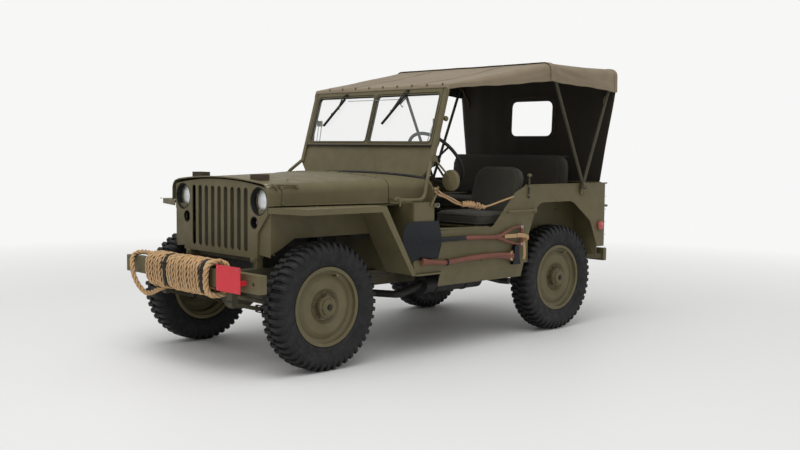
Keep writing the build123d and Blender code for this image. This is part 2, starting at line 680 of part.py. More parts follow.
def make_fenders():
    for name, side in (("left", 1), ("right", -1)):
        top = [(side * APRON_X, FENDER_FRONT_Y), (side * FENDER_HALF, FENDER_CORNER_Y)]
        top += [(side * FENDER_HALF, FENDER_REAR_Y), (side * (HOOD_REAR_HALF + 2), FENDER_REAR_Y)]
        top += [(side * (HOOD_REAR_HALF + 2), FIREWALL_Y), (side * APRON_X, FIREWALL_Y)]
        shape = prism_z(top, FENDER_TOP_Z - SHEET, FENDER_TOP_Z)
        slope = (FENDER_TOP_Z - FENDER_FOOT_Z) / (BODY_FRONT_Y - 1 - FENDER_REAR_Y)
        run = SHEET * sqrt(1 + 1 / slope**2)
        skirt = [(FENDER_REAR_Y, FENDER_TOP_Z), (BODY_FRONT_Y - 1, FENDER_FOOT_Z)]
        skirt += [(BODY_FRONT_Y - 1 - run, FENDER_FOOT_Z), (FENDER_REAR_Y - run, FENDER_TOP_Z)]
        shape += prism_x(skirt, side * APRON_X, side * FENDER_HALF)
        lip_low = FENDER_TOP_Z - FENDER_LIP
        back = FENDER_REAR_Y - FENDER_LIP
        lip = [(FENDER_CORNER_Y, FENDER_TOP_Z), (FENDER_REAR_Y, FENDER_TOP_Z)]
        lip.append((BODY_FRONT_Y - 1, FENDER_FOOT_Z))
        lip += [(BODY_FRONT_Y - 1 - FENDER_LIP, FENDER_FOOT_Z), (back, lip_low), (FENDER_CORNER_Y, lip_low)]
        shape += prism_x(lip, side * (FENDER_HALF - SHEET), side * FENDER_HALF)
        nose = [(side * APRON_X, FENDER_FRONT_Y), (side * FENDER_HALF, FENDER_CORNER_Y)]
        nose += [(side * FENDER_HALF, FENDER_CORNER_Y + SHEET), (side * APRON_X, FENDER_FRONT_Y + SHEET)]
        shape += prism_z(nose, lip_low, FENDER_TOP_Z)
        apron = [(APRON_FRONT_Y, FENDER_TOP_Z), (FIREWALL_Y, FENDER_TOP_Z), (FIREWALL_Y, APRON_LOW_Z)]
        apron += [(APRON_RISE_Y, APRON_LOW_Z), (APRON_FRONT_Y + 70, APRON_FOOT_Z + 32)]
        apron.append((APRON_FRONT_Y, APRON_FOOT_Z))
        shape += prism_x(apron, side * APRON_X, side * (APRON_X + SHEET))
        step_x = BODY_HALF + 0.5
        step = side * step_x, side * FENDER_HALF, BODY_FRONT_Y - 3, STEP_BACK_Y
        shape += block(*step, FENDER_FOOT_Z, FENDER_FOOT_Z + SHEET)
        add("fender_" + name, shape)


def make_bumpers():
    back = BUMPER_Y + BUMPER_DEPTH
    bar = block(-BUMPER_HALF, BUMPER_HALF, BUMPER_Y, back, BUMPER_LOW_Z, BUMPER_TOP_Z)
    hollow_z = BUMPER_LOW_Z + 6, BUMPER_TOP_Z - 6
    hollow = block(-BUMPER_HALF + 6, BUMPER_HALF - 6, BUMPER_Y + BUMPER_WEB, back, *hollow_z)
    bar -= hollow
    half = RAIL_WIDTH / 2
    web_y = BUMPER_Y + BUMPER_WEB
    hole_z = (BUMPER_LOW_Z + BUMPER_TOP_Z) / 2
    for side in (1, -1):
        bar += block(side * (RAIL_X - half), side * (RAIL_X + half), web_y, back, BUMPER_LOW_Z, BUMPER_TOP_Z)
        x = side * BUMPER_HOLE_X
        bar -= rod((x, BUMPER_Y - 1, hole_z), (x, web_y + 1, hole_z), BUMPER_HOLE_R)
    add("front_bumper", bar)
    pieces = []
    bar_y, frame_y = RAIL_REAR_Y + 110, RAIL_REAR_Y - 60
    bar_low, bar_high = RAIL_TOP_Z - 55, RAIL_TOP_Z + 35
    for side in (1, -1):
        rail = side * (RAIL_X - half), side * (RAIL_X + half)
        side_x = side * (RAIL_X + half)
        piece = block(rail[0], side * 640, bar_y, bar_y + 35, bar_low, bar_high)
        piece += block(*rail, RAIL_REAR_Y, bar_y + 1, RAIL_TOP_Z - 50, RAIL_TOP_Z)
        foot = [(side_x, frame_y), (side * (RAIL_X + 136), frame_y), (side * 620, bar_y + 2)]
        foot += [(side * 580, bar_y + 2), (side * (RAIL_X + 96), RAIL_REAR_Y - 20), (side_x, RAIL_REAR_Y - 20)]
        piece += prism_z(foot, RAIL_TOP_Z - 40, RAIL_TOP_Z - 5)
        pieces.append(piece)
    add("rear_bumperettes", *pieces)


PINTLE_Y = RAIL_REAR_Y + 182
PINTLE_Z = RAIL_TOP_Z - 25
PINTLE_BORE_R = 24
PINTLE_R = 46
PINTLE_HALF = 15


def make_pintle():
    hook = block(-60, 60, RAIL_REAR_Y, RAIL_REAR_Y + 12, PINTLE_Z - 45, PINTLE_Z + 20)
    hook += rod((0, RAIL_REAR_Y + 11, PINTLE_Z), (0, PINTLE_Y - PINTLE_BORE_R - 8, PINTLE_Z), 20)
    eye = rod((-PINTLE_HALF, PINTLE_Y, PINTLE_Z), (PINTLE_HALF, PINTLE_Y, PINTLE_Z), PINTLE_R)
    hook += eye
    past = PINTLE_HALF + 10
    hook -= rod((-past, PINTLE_Y, PINTLE_Z), (past, PINTLE_Y, PINTLE_Z), PINTLE_BORE_R)
    add("pintle_hook", hook)


# ---- tub ----------------------------------------------------------------------------------------
ARCH_HALF_LOW = 385
ARCH_HALF_TOP = 285
ARCH_TOP_Z = FLOOR_Z + 383
ARCH_BACK = ((382, FLOOR_Z + 64), (302, ARCH_TOP_Z - 144), (94, ARCH_TOP_Z))
ARCH_R = 110
HOUSE_X = HALF_TRACK - SIDEWALL_HALF - 32.5
HOUSE_TOP_Z = ARCH_TOP_Z + SHEET
HOUSE_Y = (REAR_AXLE_Y - 378, REAR_AXLE_Y + 389)


def arch_cut():
    """Rear wheel opening in (y, z), rounder behind the wheel than ahead of it."""
    low = FLOOR_Z - 160
    spread = ARCH_HALF_LOW + 12
    knee = ARCH_TOP_Z - 239
    points = [(REAR_AXLE_Y - spread, low), (REAR_AXLE_Y + spread, low)]
    points += [(REAR_AXLE_Y + back, z) for back, z in ARCH_BACK]
    points += [(REAR_AXLE_Y - ARCH_HALF_TOP, ARCH_TOP_Z), (REAR_AXLE_Y - ARCH_HALF_LOW, knee)]
    face = make_face(Polyline(*points, close=True))
    upper = [v for v in face.vertices() if v.Y > FLOOR_Z]
    return fillet(upper, ARCH_R)


def door_cut():
    """Side entry in (y, z), open at its top."""
    top = SIDE_TOP_Z + 50
    points = [(DOOR_FRONT_Y, top), (DOOR_FRONT_Y, DOOR_SILL_Z), (DOOR_SILL_BACK_Y, DOOR_SILL_Z)]
    points += [(DOOR_SLOPE_Y, DOOR_SLOPE_Z), (DOOR_BACK_Y, SIDE_TOP_Z + 1), (DOOR_BACK_Y, top)]
    face = make_face(Polyline(*points, close=True))
    corners = [v for v in face.vertices() if v.Y < DOOR_SLOPE_Z + 1]
    return fillet(corners, 60)


def make_tub():
    flat_end = BODY_REAR_Y - REAR_CORNER_R
    side = [(BODY_FRONT_Y, FLOOR_Z), (flat_end, FLOOR_Z), (flat_end, SIDE_TOP_Z), (BODY_FRONT_Y, SIDE_TOP_Z)]
    outer, inner = BODY_HALF, BODY_HALF - SHEET
    wall = prism_x(side, inner, outer)
    wall -= block(inner, outer, BODY_FRONT_Y, DOOR_FRONT_Y + 1, COWL_SHELF_Z - SHEET, SIDE_TOP_Z)
    wall -= prism_x(door_cut(), inner - 1, outer + 1)
    wall -= block(inner - 1, outer + 1, REAR_AXLE_Y, flat_end, FLOOR_Z - 1, TAIL_LOW_Z)
    rocker = [(outer, FLOOR_Z + 4), (outer, FLOOR_Z - SHEET), (outer - ROCKER_TUCK, ROCKER_Z)]
    rocker += [(inner - ROCKER_TUCK, ROCKER_Z), (inner, FLOOR_Z - SHEET), (inner, FLOOR_Z + 4)]
    wall += prism_y(rocker, ROCKER_FRONT_Y, ROCKER_BACK_Y)
    wall -= prism_x(arch_cut(), inner - 60, outer + 1)
    rail = block(inner - 18, inner, DOOR_BACK_Y, flat_end, SIDE_TOP_Z - SHEET, SIDE_TOP_Z)
    wall += rail
    add("side_panel_left", wall)
    add("side_panel_right", mirror(wall, about=Plane.YZ))
    bend = REAR_CORNER_R
    start, back = flat_end - 200, BODY_REAR_Y - SHEET
    ring = rounded([(-outer, start), (outer, start), (outer, BODY_REAR_Y), (-outer, BODY_REAR_Y)], bend)
    start += SHEET
    hole = rounded([(-inner, start), (inner, start), (inner, back), (-inner, back)], bend - SHEET)
    tail = prism_z(ring, TAIL_LOW_Z, SIDE_TOP_Z) - prism_z(hole, TAIL_LOW_Z, SIDE_TOP_Z)
    tail -= block(-outer, outer, flat_end - 250, flat_end, TAIL_LOW_Z, SIDE_TOP_Z)
    tail += block(-inner + 40, inner - 40, back - 18, back, SIDE_TOP_Z - SHEET, SIDE_TOP_Z)
    add("rear_panel", tail)
    make_floor(inner)


def make_floor(inner):
    """Flat floor and toe board, and beside them the two wheel houses with their rear shelves."""
    under = FLOOR_Z - SHEET
    front, back = HOUSE_Y
    rear = BODY_REAR_Y - SHEET - 1
    pan = block(-inner, inner, BODY_FRONT_Y + LAP, front - LAP, under, FLOOR_Z)
    pan += block(-HOUSE_X, HOUSE_X, front - 2 * LAP, rear, under, FLOOR_Z)
    toe = [(BODY_FRONT_Y + LAP, FLOOR_Z + 204), (BODY_FRONT_Y + LAP, FLOOR_Z + 197)]
    toe += [(COWL_REAR_Y, FLOOR_Z - 1), (COWL_REAR_Y + 10, FLOOR_Z - 1)]
    pan += prism_x(toe, -inner, inner)
    solids = [pan]
    shelf = HOUSE_TOP_Z - 329
    wall = HOUSE_X + LAP
    for side in (1, -1):
        outline = [(front, under), (front, HOUSE_TOP_Z), (back, HOUSE_TOP_Z), (back, under)]
        house = prism_x(outline, side * wall, side * inner)
        low = under - 1
        hollow = side * (wall + SHEET), side * (inner + 1), front + SHEET, back - SHEET
        house -= block(*hollow, low, ARCH_TOP_Z)
        house += block(side * wall, side * (inner - 50), back - 1, rear, shelf - SHEET, shelf)
        house += block(side * wall, side * (wall + SHEET), back - 1, rear, under, shelf)
        solids.append(house)
    add("floor_pan", *solids)


def make_screen():
    plane = screen_plane()
    half = SCREEN_THICK / 2
    outer = RectangleRounded(2 * SCREEN_HALF, SCREEN_TOP, 30)
    face = Pos(0, SCREEN_TOP / 2) * outer
    face += Pos(0, SCREEN_TOP / 4) * Rectangle(2 * SCREEN_HALF, SCREEN_TOP / 2)
    height = GLASS_HIGH - GLASS_LOW
    pane_w = GLASS_HALF - GLASS_DIVIDER / 2
    panes = []
    for side in (1, -1):
        spot = Pos(side * (GLASS_HALF + GLASS_DIVIDER / 2) / 2, (GLASS_LOW + GLASS_HIGH) / 2)
        face -= spot * RectangleRounded(pane_w, height, 22)
        sheet = RectangleRounded(pane_w - 2 * GLASS_FIT, height - 2 * GLASS_FIT, 22 - GLASS_FIT)
        panes.append(extrude(plane.offset(-GLASS_THICK / 2) * (spot * sheet), GLASS_THICK))
    frame = extrude(plane.offset(-half) * face, SCREEN_THICK)
    side_low = up_screen(COWL_REAR_CROWN_Z + 62)
    for side in (1, -1):
        post = Pos(side * (SCREEN_HALF - 14), side_low / 2) * Rectangle(28, -side_low)
        frame += extrude(plane.offset(-half) * post, SCREEN_THICK)
    corner = (SCREEN_HALF - 77, up_screen(COWL_REAR_CROWN_Z - 13))
    low = [ThreePointArc((-corner[0], corner[1]), (0, up_screen(COWL_REAR_CROWN_Z + 4)), corner)]
    low.append(Polyline(corner, (SCREEN_HALF, side_low), (SCREEN_HALF, 0), (-SCREEN_HALF, 0),
                        (-SCREEN_HALF, side_low), (-corner[0], corner[1])))
    frame += extrude(plane.offset(-3) * make_face(low), 4)
    for side in (1, -1):
        arm_z = COWL_SHELF_Z + 16
        route = [(side * (SCREEN_HALF - 15), SCREEN_LEDGE_Y - 25, SCREEN_LEDGE_Z - 87)]
        route.append((side * (ARM_X - 12), SCREEN_LEDGE_Y - 111, SCREEN_LEDGE_Z - 175))
        route += [(side * ARM_X, SCREEN_LEDGE_Y - 153, arm_z), (side * ARM_X, HOOD_REAR_Y - 5, arm_z)]
        frame += bent_rod(route, 55, ARM_R)
    add("windscreen_frame", frame)
    add("windscreen_glass", *panes)


# ---- canvas top ---------------------------------------------------------------------------------
ROOF_HALF = BOW_X + BOW_R + CANVAS
ROOF_Z = BOW_TOP_Z + BOW_R + CANVAS
SCREEN_TIP_Y = SCREEN_LEDGE_Y + SCREEN_TOP * sin(radians(SCREEN_RAKE))
SCREEN_TIP_Z = SCREEN_LEDGE_Z + SCREEN_TOP * cos(radians(SCREEN_RAKE))
ROOF_STATIONS = (
    # place along the car, outer half width, top height, lower edge, corner radius
    (SCREEN_TIP_Y - 10.5, SCREEN_HALF + 8, SCREEN_TIP_Z + 10.1, SCREEN_TIP_Z - 19.9, 20),
    (MAIN_BOW_Y, ROOF_HALF + 2, ROOF_Z + 2, ROOF_Z - 122, 55),
    (REAR_BOW_Y + BOW_R + CANVAS + 3, ROOF_HALF + 4, ROOF_Z + 1, ROOF_Z - 161, 50),
)
WINDOW_HALF = 195
WINDOW_Z = (SIDE_TOP_Z + 332, SIDE_TOP_Z + 592)


def roof_band(y, half, top, low, bend):
    """The canvas cut across at one place, as a band of the cloth's thickness."""
    runs = []
    for inset in (0, CANVAS):
        w, t, r = half - inset, top - inset, bend - inset
        k = r * (1 - sqrt(0.5))
        runs.append((w, t, r, k))
    w, t, r, k = runs[0]
    wi, ti, ri, ki = runs[1]
    edges = [
        Line((w, low), (w, t - r)),
        ThreePointArc((w, t - r), (w - k, t - k), (w - r, t)),
        Line((w - r, t), (-w + r, t)),
        ThreePointArc((-w + r, t), (-w + k, t - k), (-w, t - r)),
        Line((-w, t - r), (-w, low)),
        Line((-w, low), (-wi, low)),
        Line((-wi, low), (-wi, ti - ri)),
        ThreePointArc((-wi, ti - ri), (-wi + ki, ti - ki), (-wi + ri, ti)),
        Line((-wi + ri, ti), (wi - ri, ti)),
        ThreePointArc((wi - ri, ti), (wi - ki, ti - ki), (wi, ti - ri)),
        Line((wi, ti - ri), (wi, low)),
        Line((wi, low), (w, low)),
    ]
    return Plane.XZ.offset(-y) * make_face(edges)


def make_canvas():
    bands = [roof_band(*station) for station in ROOF_STATIONS]
    roof = loft(bands[:2], ruled=True) + loft(bands[1:], ruled=True)
    add("canvas_roof", roof)
    top_y = REAR_BOW_Y + BOW_R + 2
    low_y = BODY_REAR_Y + 1
    low_z, top_z = SIDE_TOP_Z - 13, ROOF_Z + 1 - CANVAS - 0.5
    lean = [(top_y, top_z), (top_y + CANVAS, top_z), (low_y + CANVAS, low_z), (low_y, low_z)]
    half, waist = ROOF_HALF + 4 - CANVAS - 0.5, ROOF_Z - 158
    shape = [(-half, top_z - 50), (-half + 50, top_z), (half - 50, top_z), (half, top_z - 50), (half, waist)]
    shape += [(BODY_HALF - 75, low_z), (75 - BODY_HALF, low_z), (-half, waist)]
    curtain = prism_x(lean, -half, half) & prism_y(shape, BODY_REAR_Y - 50, top_y + 50)
    curtain -= block(-WINDOW_HALF, WINDOW_HALF, BODY_REAR_Y - 50, top_y + 50, *WINDOW_Z)
    add("canvas_rear", curtain)
    bows = []
    for top in (MAIN_BOW_Y, REAR_BOW_Y):
        pivot = (BOW_PIVOT_Y, BOW_PIVOT_Z)
        route = [(BOW_X, *pivot), (BOW_X, top, BOW_TOP_Z), (-BOW_X, top, BOW_TOP_Z), (-BOW_X, *pivot)]
        bows.append(bent_rod(route, BOW_CORNER_R, BOW_R))
    hoop = joined(*bows)
    for side in (1, -1):
        x0, x1 = side * BODY_HALF, side * (BOW_X + BOW_R)
        hoop += block(x0, x1, BOW_PIVOT_Y - 28, BOW_PIVOT_Y + 28, BOW_PIVOT_Z - 30, BOW_PIVOT_Z + 12)
    add("top_bows", hoop)


# ---- seats --------------------------------------------------------------------------------------
def seat_cushions(side):
    """Seat and back pads of one front seat."""
    x0, x1 = side * SEAT_IN_X, side * SEAT_OUT_X
    base = SEAT_TOP_Z - SEAT_THICK
    pad = fillet(block(x0, x1, SEAT_FRONT_Y, SEAT_BACK_Y, base, SEAT_TOP_Z).edges(), 20)
    lean = [(SEAT_BACK_Y + 4, base + 55), (SEAT_BACK_Y + 64, base + 55), (SEAT_BACK_Y + 170, SEAT_BACK_TOP_Z)]
    lean.append((SEAT_BACK_Y + 110, SEAT_BACK_TOP_Z))
    rest = fillet(prism_x(lean, x0, x1).edges(), 18)
    return [pad, rest]


def seat_frame(side):
    """Tube frame under and behind one front seat, with its front feet bored for the pivot bar."""
    in_x, out_x, post_x = SEAT_IN_X + 45, SEAT_OUT_X - 45, min(HOUSE_X - 25, SEAT_OUT_X - 45)
    rail_z = SEAT_TOP_Z - SEAT_THICK - SEAT_TUBE_R - 0.5
    back_y = SEAT_BACK_Y + 64
    solids = []
    for x in (side * in_x, side * out_x):
        solids.append(rod((x, SEAT_PIVOT_Y, SEAT_PIVOT_Z + 4), (x, SEAT_PIVOT_Y, rail_z), SEAT_TUBE_R - 1))
        solids.append(rod((x, back_y - 64, FLOOR_Z + 0.5), (x, back_y - 64, rail_z), SEAT_TUBE_R - 1))
        solids.append(rod((x, SEAT_PIVOT_Y - 14, rail_z), (x, back_y, rail_z), SEAT_TUBE_R))
        solids.append(rod((x - 16, SEAT_PIVOT_Y, SEAT_PIVOT_Z), (x + 16, SEAT_PIVOT_Y, SEAT_PIVOT_Z), 16))
    for x in (side * in_x, side * post_x):
        solids.append(rod((x, back_y - 8, rail_z), (x, back_y + 120, SEAT_BACK_TOP_Z - 20), SEAT_TUBE_R - 1))
    for y in (SEAT_PIVOT_Y, back_y - 64, back_y - 8):
        solids.append(rod((side * in_x, y, rail_z), (side * out_x, y, rail_z), SEAT_TUBE_R - 2))
    bar_z = SEAT_BACK_TOP_Z - 45
    bar_y = back_y + 113
    solids.append(rod((side * in_x, bar_y, bar_z), (side * post_x, bar_y, bar_z), SEAT_TUBE_R - 2))
    frame = joined(*solids)
    ends = side * (in_x - 30), side * (out_x + 30)
    bore = rod((ends[0], SEAT_PIVOT_Y, SEAT_PIVOT_Z), (ends[1], SEAT_PIVOT_Y, SEAT_PIVOT_Z), SEAT_BAR_R + 0.5)
    return frame - bore


def seat_bar(side):
    """Pivot bar on two floor brackets."""
    ends = side * (SEAT_IN_X + 8), side * (SEAT_OUT_X - 8)
    bar = rod((ends[0], SEAT_PIVOT_Y, SEAT_PIVOT_Z), (ends[1], SEAT_PIVOT_Y, SEAT_PIVOT_Z), SEAT_BAR_R)
    for x in ends:
        bar += block(x - 6, x + 6, SEAT_PIVOT_Y - 18, SEAT_PIVOT_Y + 18, FLOOR_Z, SEAT_PIVOT_Z + 12)
    return bar


BENCH_Y = (REAR_AXLE_Y - 186, REAR_AXLE_Y + 189)
BENCH_HALF = HOUSE_X - 12
BENCH_TOP_Z = FLOOR_Z + 384
BENCH_THICK = 80
BENCH_BACK_HALF = HOUSE_X + 60
BENCH_BACK_Z = (BENCH_TOP_Z + 12, BENCH_TOP_Z + 320)


def make_seats():
    front, back = BENCH_Y
    low, high = BENCH_BACK_Z
    base = BENCH_TOP_Z - BENCH_THICK
    bench = fillet(block(-BENCH_HALF, BENCH_HALF, front, back, base, BENCH_TOP_Z).edges(), 20)
    lean = [(back + 10, low), (back + 62, low), (back + 85, high), (back + 30, high)]
    rest = fillet(prism_x(lean, -BENCH_BACK_HALF, BENCH_BACK_HALF).edges(), 18)
    add("seat_cushions", *seat_cushions(1), bench, rest)
    frame = []
    under, leg_x = base - 0.5, BENCH_HALF - 88
    for x in (-leg_x, leg_x):
        frame.append(block(x - 12, x + 12, front + 30, front + 54, FLOOR_Z, under))
        frame.append(block(x - 12, x + 12, back + 64.5, back + 88, FLOOR_Z, high - 50))
        frame.append(block(x - 12, x + 12, front + 30, back + 80, under - 24, under))
    for y, z in ((front + 30, under), (back + 62, under)):
        frame.append(block(-leg_x, leg_x, y, y + 24, z - 24, z))
    bench_frame = joined(*frame)
    wedge = [(back + 10, low - 12), (back + 62.5, low - 12), (back + 85.5, high + 10), (back + 30, high + 10)]
    bench_frame -= prism_x(wedge, -BENCH_BACK_HALF, BENCH_BACK_HALF)
    add("seat_frames", seat_frame(1), seat_bar(1), seat_bar(-1), bench_frame)
    add("passenger_seat_frame", seat_frame(-1))
    add("passenger_cushions", *seat_cushions(-1))


# ---- tools, rope and small pieces ---------------------------------------------------------------
SHOVEL_Z = FLOOR_Z + 192
BLADE_Y = (-498, -215)
BLADE_Z = (FLOOR_Z + 72, FLOOR_Z + 309)
BLADE_DISH_R = 250
BLADE_THICK = 3
GRIP_Y = 580
GRIP_DROP = 16
AXE_Z = FLOOR_Z + 52
AXE_R = 13


AXE_HEAD = ((455, -57), (530, -57), (516, -8), (514, 52), (505, 69), (480, 69), (470, 52), (470, -8))
CLAMPS = (
    # place along the car, height, radius of what it holds
    (-60, SHOVEL_Z, TOOL_R - 3),
    (330, SHOVEL_Z - 10, TOOL_R - 2),
    (-140, AXE_Z - 3, AXE_R),
    (200, AXE_Z - 4, AXE_R),
)


def make_tools():
    front, back = BLADE_Y
    low, high = BLADE_Z
    mid = (low + high) / 2
    shoulder, cheek = front + 165, front + 48
    lower = ThreePointArc((shoulder, low), (cheek, low + 60), (front, mid))
    upper = ThreePointArc((front, mid), (cheek, high - 60), (shoulder, high))
    shape = make_face([lower, upper, Polyline((shoulder, high), (back, high), (back, low), (shoulder, low))])
    rim_x = TOOL_X + 8
    dish = prism_y(Pos(rim_x - BLADE_DISH_R, mid) * Circle(BLADE_DISH_R), front, back)
    dish -= prism_y(Pos(rim_x - BLADE_DISH_R, mid) * Circle(BLADE_DISH_R - BLADE_THICK), front, back)
    blade = dish & prism_x(shape, BODY_HALF + 1, rim_x + 1)
    blade += rod((TOOL_X, back - 90, SHOVEL_Z), (TOOL_X, 20, SHOVEL_Z), TOOL_R - 3)
    add("shovel_blade", blade)
    grip_z = SHOVEL_Z - GRIP_DROP
    handle = rod((TOOL_X, 21.5, SHOVEL_Z), (TOOL_X, GRIP_Y - 60, grip_z), TOOL_R - 2)
    for end in (grip_z - 58, grip_z + 58):
        handle += rod((TOOL_X, GRIP_Y - 75, grip_z), (TOOL_X, GRIP_Y, end), 9)
    handle += rod((TOOL_X, GRIP_Y, grip_z - 66), (TOOL_X, GRIP_Y, grip_z + 66), 13)
    add("shovel_handle", handle)
    bends = (-350, 14), (-240, 2), (60, -8), (320, 0), (467, 0)
    route = [(TOOL_X, y, AXE_Z + rise) for y, rise in bends]
    add("axe_handle", bent_rod(route, 300, AXE_R))
    head = [(y, AXE_Z + up) for y, up in AXE_HEAD]
    add("axe_head", prism_x(head, TOOL_X - 12, TOOL_X + 12))
    clamps = []
    for y, z, radius in CLAMPS:
        clamps.append(block(BODY_HALF, TOOL_X - radius - 0.2, y - 15, y + 15, z - 14, z + 14))
    clamps.append(block(BODY_HALF, TOOL_X - 12, 480, 505, AXE_Z - 48, AXE_Z + 52))
    add("tool_clamps", *clamps)


COILS = (
    # start x, end x, ahead of the bumper, above it, below it, behind it
    (-395, 235, 46, 46, 62, 42),
    (234, 300, 50, 50, 66, 46),
)
LOOP = (
    (-397, -1454, 588),
    (-485, -1455, 591),
    (-555, -1463, 591),
    (-590, -1484, 579),
    (-582, -1509, 548),
    (-562, -1519, 508),
    (-548, -1520, 462),
    (-518, -1514, 412),
    (-478, -1504, 374),
    (-438, -1496, 354),
    (-390, -1488, 360),
    (-330, -1484, 386),
)


MIRROR_OUT = 63
MIRROR_R = 63.5
HANDLE_R = 8


def cord_radii(points):
    """Corner radii of a cord's tube: as large as its runs allow."""
    radii = []
    for before, corner, after in zip(points, points[1:], points[2:]):
        first, second = Vector(*corner) - Vector(*before), Vector(*after) - Vector(*corner)
        turn = radians(first.get_angle(second))
        radii.append(0.45 * min(first.length, second.length) / tan(turn / 2))
    return radii


def make_rope():
    back = BUMPER_Y + BUMPER_DEPTH
    fit = ROPE_FIT
    coils = []
    for x0, x1, ahead, above, below, behind in COILS:
        outer = [(BUMPER_Y - ahead, BUMPER_LOW_Z - below), (back + behind, BUMPER_LOW_Z - below)]
        outer += [(back + behind, BUMPER_TOP_Z + above), (BUMPER_Y - ahead, BUMPER_TOP_Z + above)]
        sleeve = prism_x(rounded(outer, 38), x0, x1)
        sleeve -= block(x0, x1, BUMPER_Y - fit, back + fit, BUMPER_LOW_Z - fit, BUMPER_TOP_Z + fit)
        coils.append(sleeve)
    rail_edge = -RAIL_X + RAIL_WIDTH / 2 + 3
    notch_z = BUMPER_LOW_Z - 100, BUMPER_TOP_Z + 100
    behind_bumper = block(COILS[0][0] - 1, rail_edge, back - 1, back + 100, *notch_z)
    add("rope_coil", joined(*coils) - behind_bumper)
    radii = cord_radii(LOOP)
    print("rope loop radii", [round(radius) for radius in radii])
    path = FilletPolyline(*LOOP, radius=radii)
    tube = sweep(Plane(path @ 0, z_dir=path % 0) * Circle(ROPE_D / 2), path=path)
    print("rope loop volume against section times length", tube.volume / (pi * ROPE_D**2 / 4 * path.length))
    add("rope_loop", tube)


def make_trim():
    plate = block(380, 600, PLATE_Y, PLATE_Y + PLATE_THICK, BUMPER_LOW_Z - 2, BUMPER_LOW_Z + 137)
    for x in (510, 572):
        z = BUMPER_LOW_Z + 38
        plate += block(x - 8, x + 8, PLATE_Y + PLATE_THICK, BUMPER_Y - 0.1, z, z + 25)
    add("front_plate", plate)
    x, y, z = SCREEN_HALF + MIRROR_OUT, SCREEN_LEDGE_Y + 57, SCREEN_LEDGE_Z - 200
    disc = rod((x, y, z), (x, y + 14, z), MIRROR_R)
    stem = [(x - 52, y - 78, z + 128), (x - 30, y - 60, z + 93), (x, y - 7, z + 23), (x, y + 2, z)]
    disc += bent_rod(stem, 15, 6)
    disc += block(SCREEN_HALF + 0.2, SCREEN_HALF + 15, y - 95, y - 60, z + 113, z + 143)
    add("mirror", disc)
    handles = []
    side_z, rear_z = SIDE_TOP_Z - 167, SIDE_TOP_Z - 168
    front, back = REAR_AXLE_Y - 594, REAR_AXLE_Y - 326
    for side in (1, -1):
        x, out = side * BODY_HALF, side * (BODY_HALF + 25)
        route = [(x, front, side_z), (out, front, side_z), (out, back, side_z), (x, back, side_z)]
        handles.append(bent_rod(route, 14, HANDLE_R))
        a, b = side * (BODY_HALF - 170), side * (BODY_HALF - 55)
        y, reach = BODY_REAR_Y, BODY_REAR_Y + 85
        route = [(a, y, rear_z), (a, reach, rear_z), (b, reach, rear_z), (b, y, rear_z)]
        handles.append(bent_rod(route, 20, HANDLE_R))
    add("grab_handles", *handles)
    lamps = []
    x, y = BODY_HALF - 105, BODY_REAR_Y
    side_y, side_z = BODY_REAR_Y - 87, SIDE_TOP_Z - 300
    for side in (1, -1):
        lamps.append(rod((side * x, y, SIDE_TOP_Z - 68), (side * x, y + 42, SIDE_TOP_Z - 68), 36))
        lamps.append(rod((side * x, y, SIDE_TOP_Z - 298), (side * x, y + 14, SIDE_TOP_Z - 298), 34))
        lamps.append(rod((side * BODY_HALF, side_y, side_z), (side * (BODY_HALF + 12), side_y, side_z), 34))
    add("rear_lamps", *lamps)
    carrier = block(SPARE_X - 110, SPARE_X + 110, BODY_REAR_Y, BODY_REAR_Y + 8, SPARE_Z - 110, SPARE_Z + 110)
    seat_y = SPARE_Y + DISC_SEAT[1] - 0.2
    carrier += rod((SPARE_X, BODY_REAR_Y + 7, SPARE_Z), (SPARE_X, seat_y, SPARE_Z), 72)
    add("spare_carrier", carrier)
    strap_x = BODY_HALF + 0.3, BODY_HALF + 6.3
    sag = COWL_SHELF_Z - 60
    upper = ThreePointArc((-275, sag + 115), (105, sag + 45), (482, sag + 92))
    lower = ThreePointArc((482, sag + 47), (105, sag), (-275, sag + 70))
    web = make_face([upper, Line(upper @ 1, lower @ 0), lower, Line(lower @ 1, upper @ 0)])
    add("safety_strap", prism_x(web, *strap_x))


def export():
    """Write every node, moved so that the origin lies under the middle of the part."""
    os.makedirs("parts", exist_ok=True)
    for name, solids in NODES.items():
        pieces = []
        for shape in solids:
            pieces += shape.solids()
        placed = [Pos(0, -ORIGIN_Y, 0) * piece for piece in pieces]
        node = placed[0] if len(placed) == 1 else Compound(children=placed)
        node.label = name
        export_step(node, "parts/" + name + ".step")


make_wheels()
make_frame()
make_axles()
make_steering()
make_drive()
make_grille()
make_lamps()
make_hood()
make_cowl()
make_fenders()
make_bumpers()
make_pintle()
make_tub()
make_screen()
make_canvas()
make_seats()
make_tools()
make_rope()
make_trim()
export()
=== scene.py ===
"""Army 4x4 car: canvas, cushions, rope, tyres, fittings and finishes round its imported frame."""

import math

import bpy
from bpy.props import FloatProperty, FloatVectorProperty, IntProperty, PointerProperty
from mathutils import Matrix, Vector, noise
from mathutils.bvhtree import BVHTree


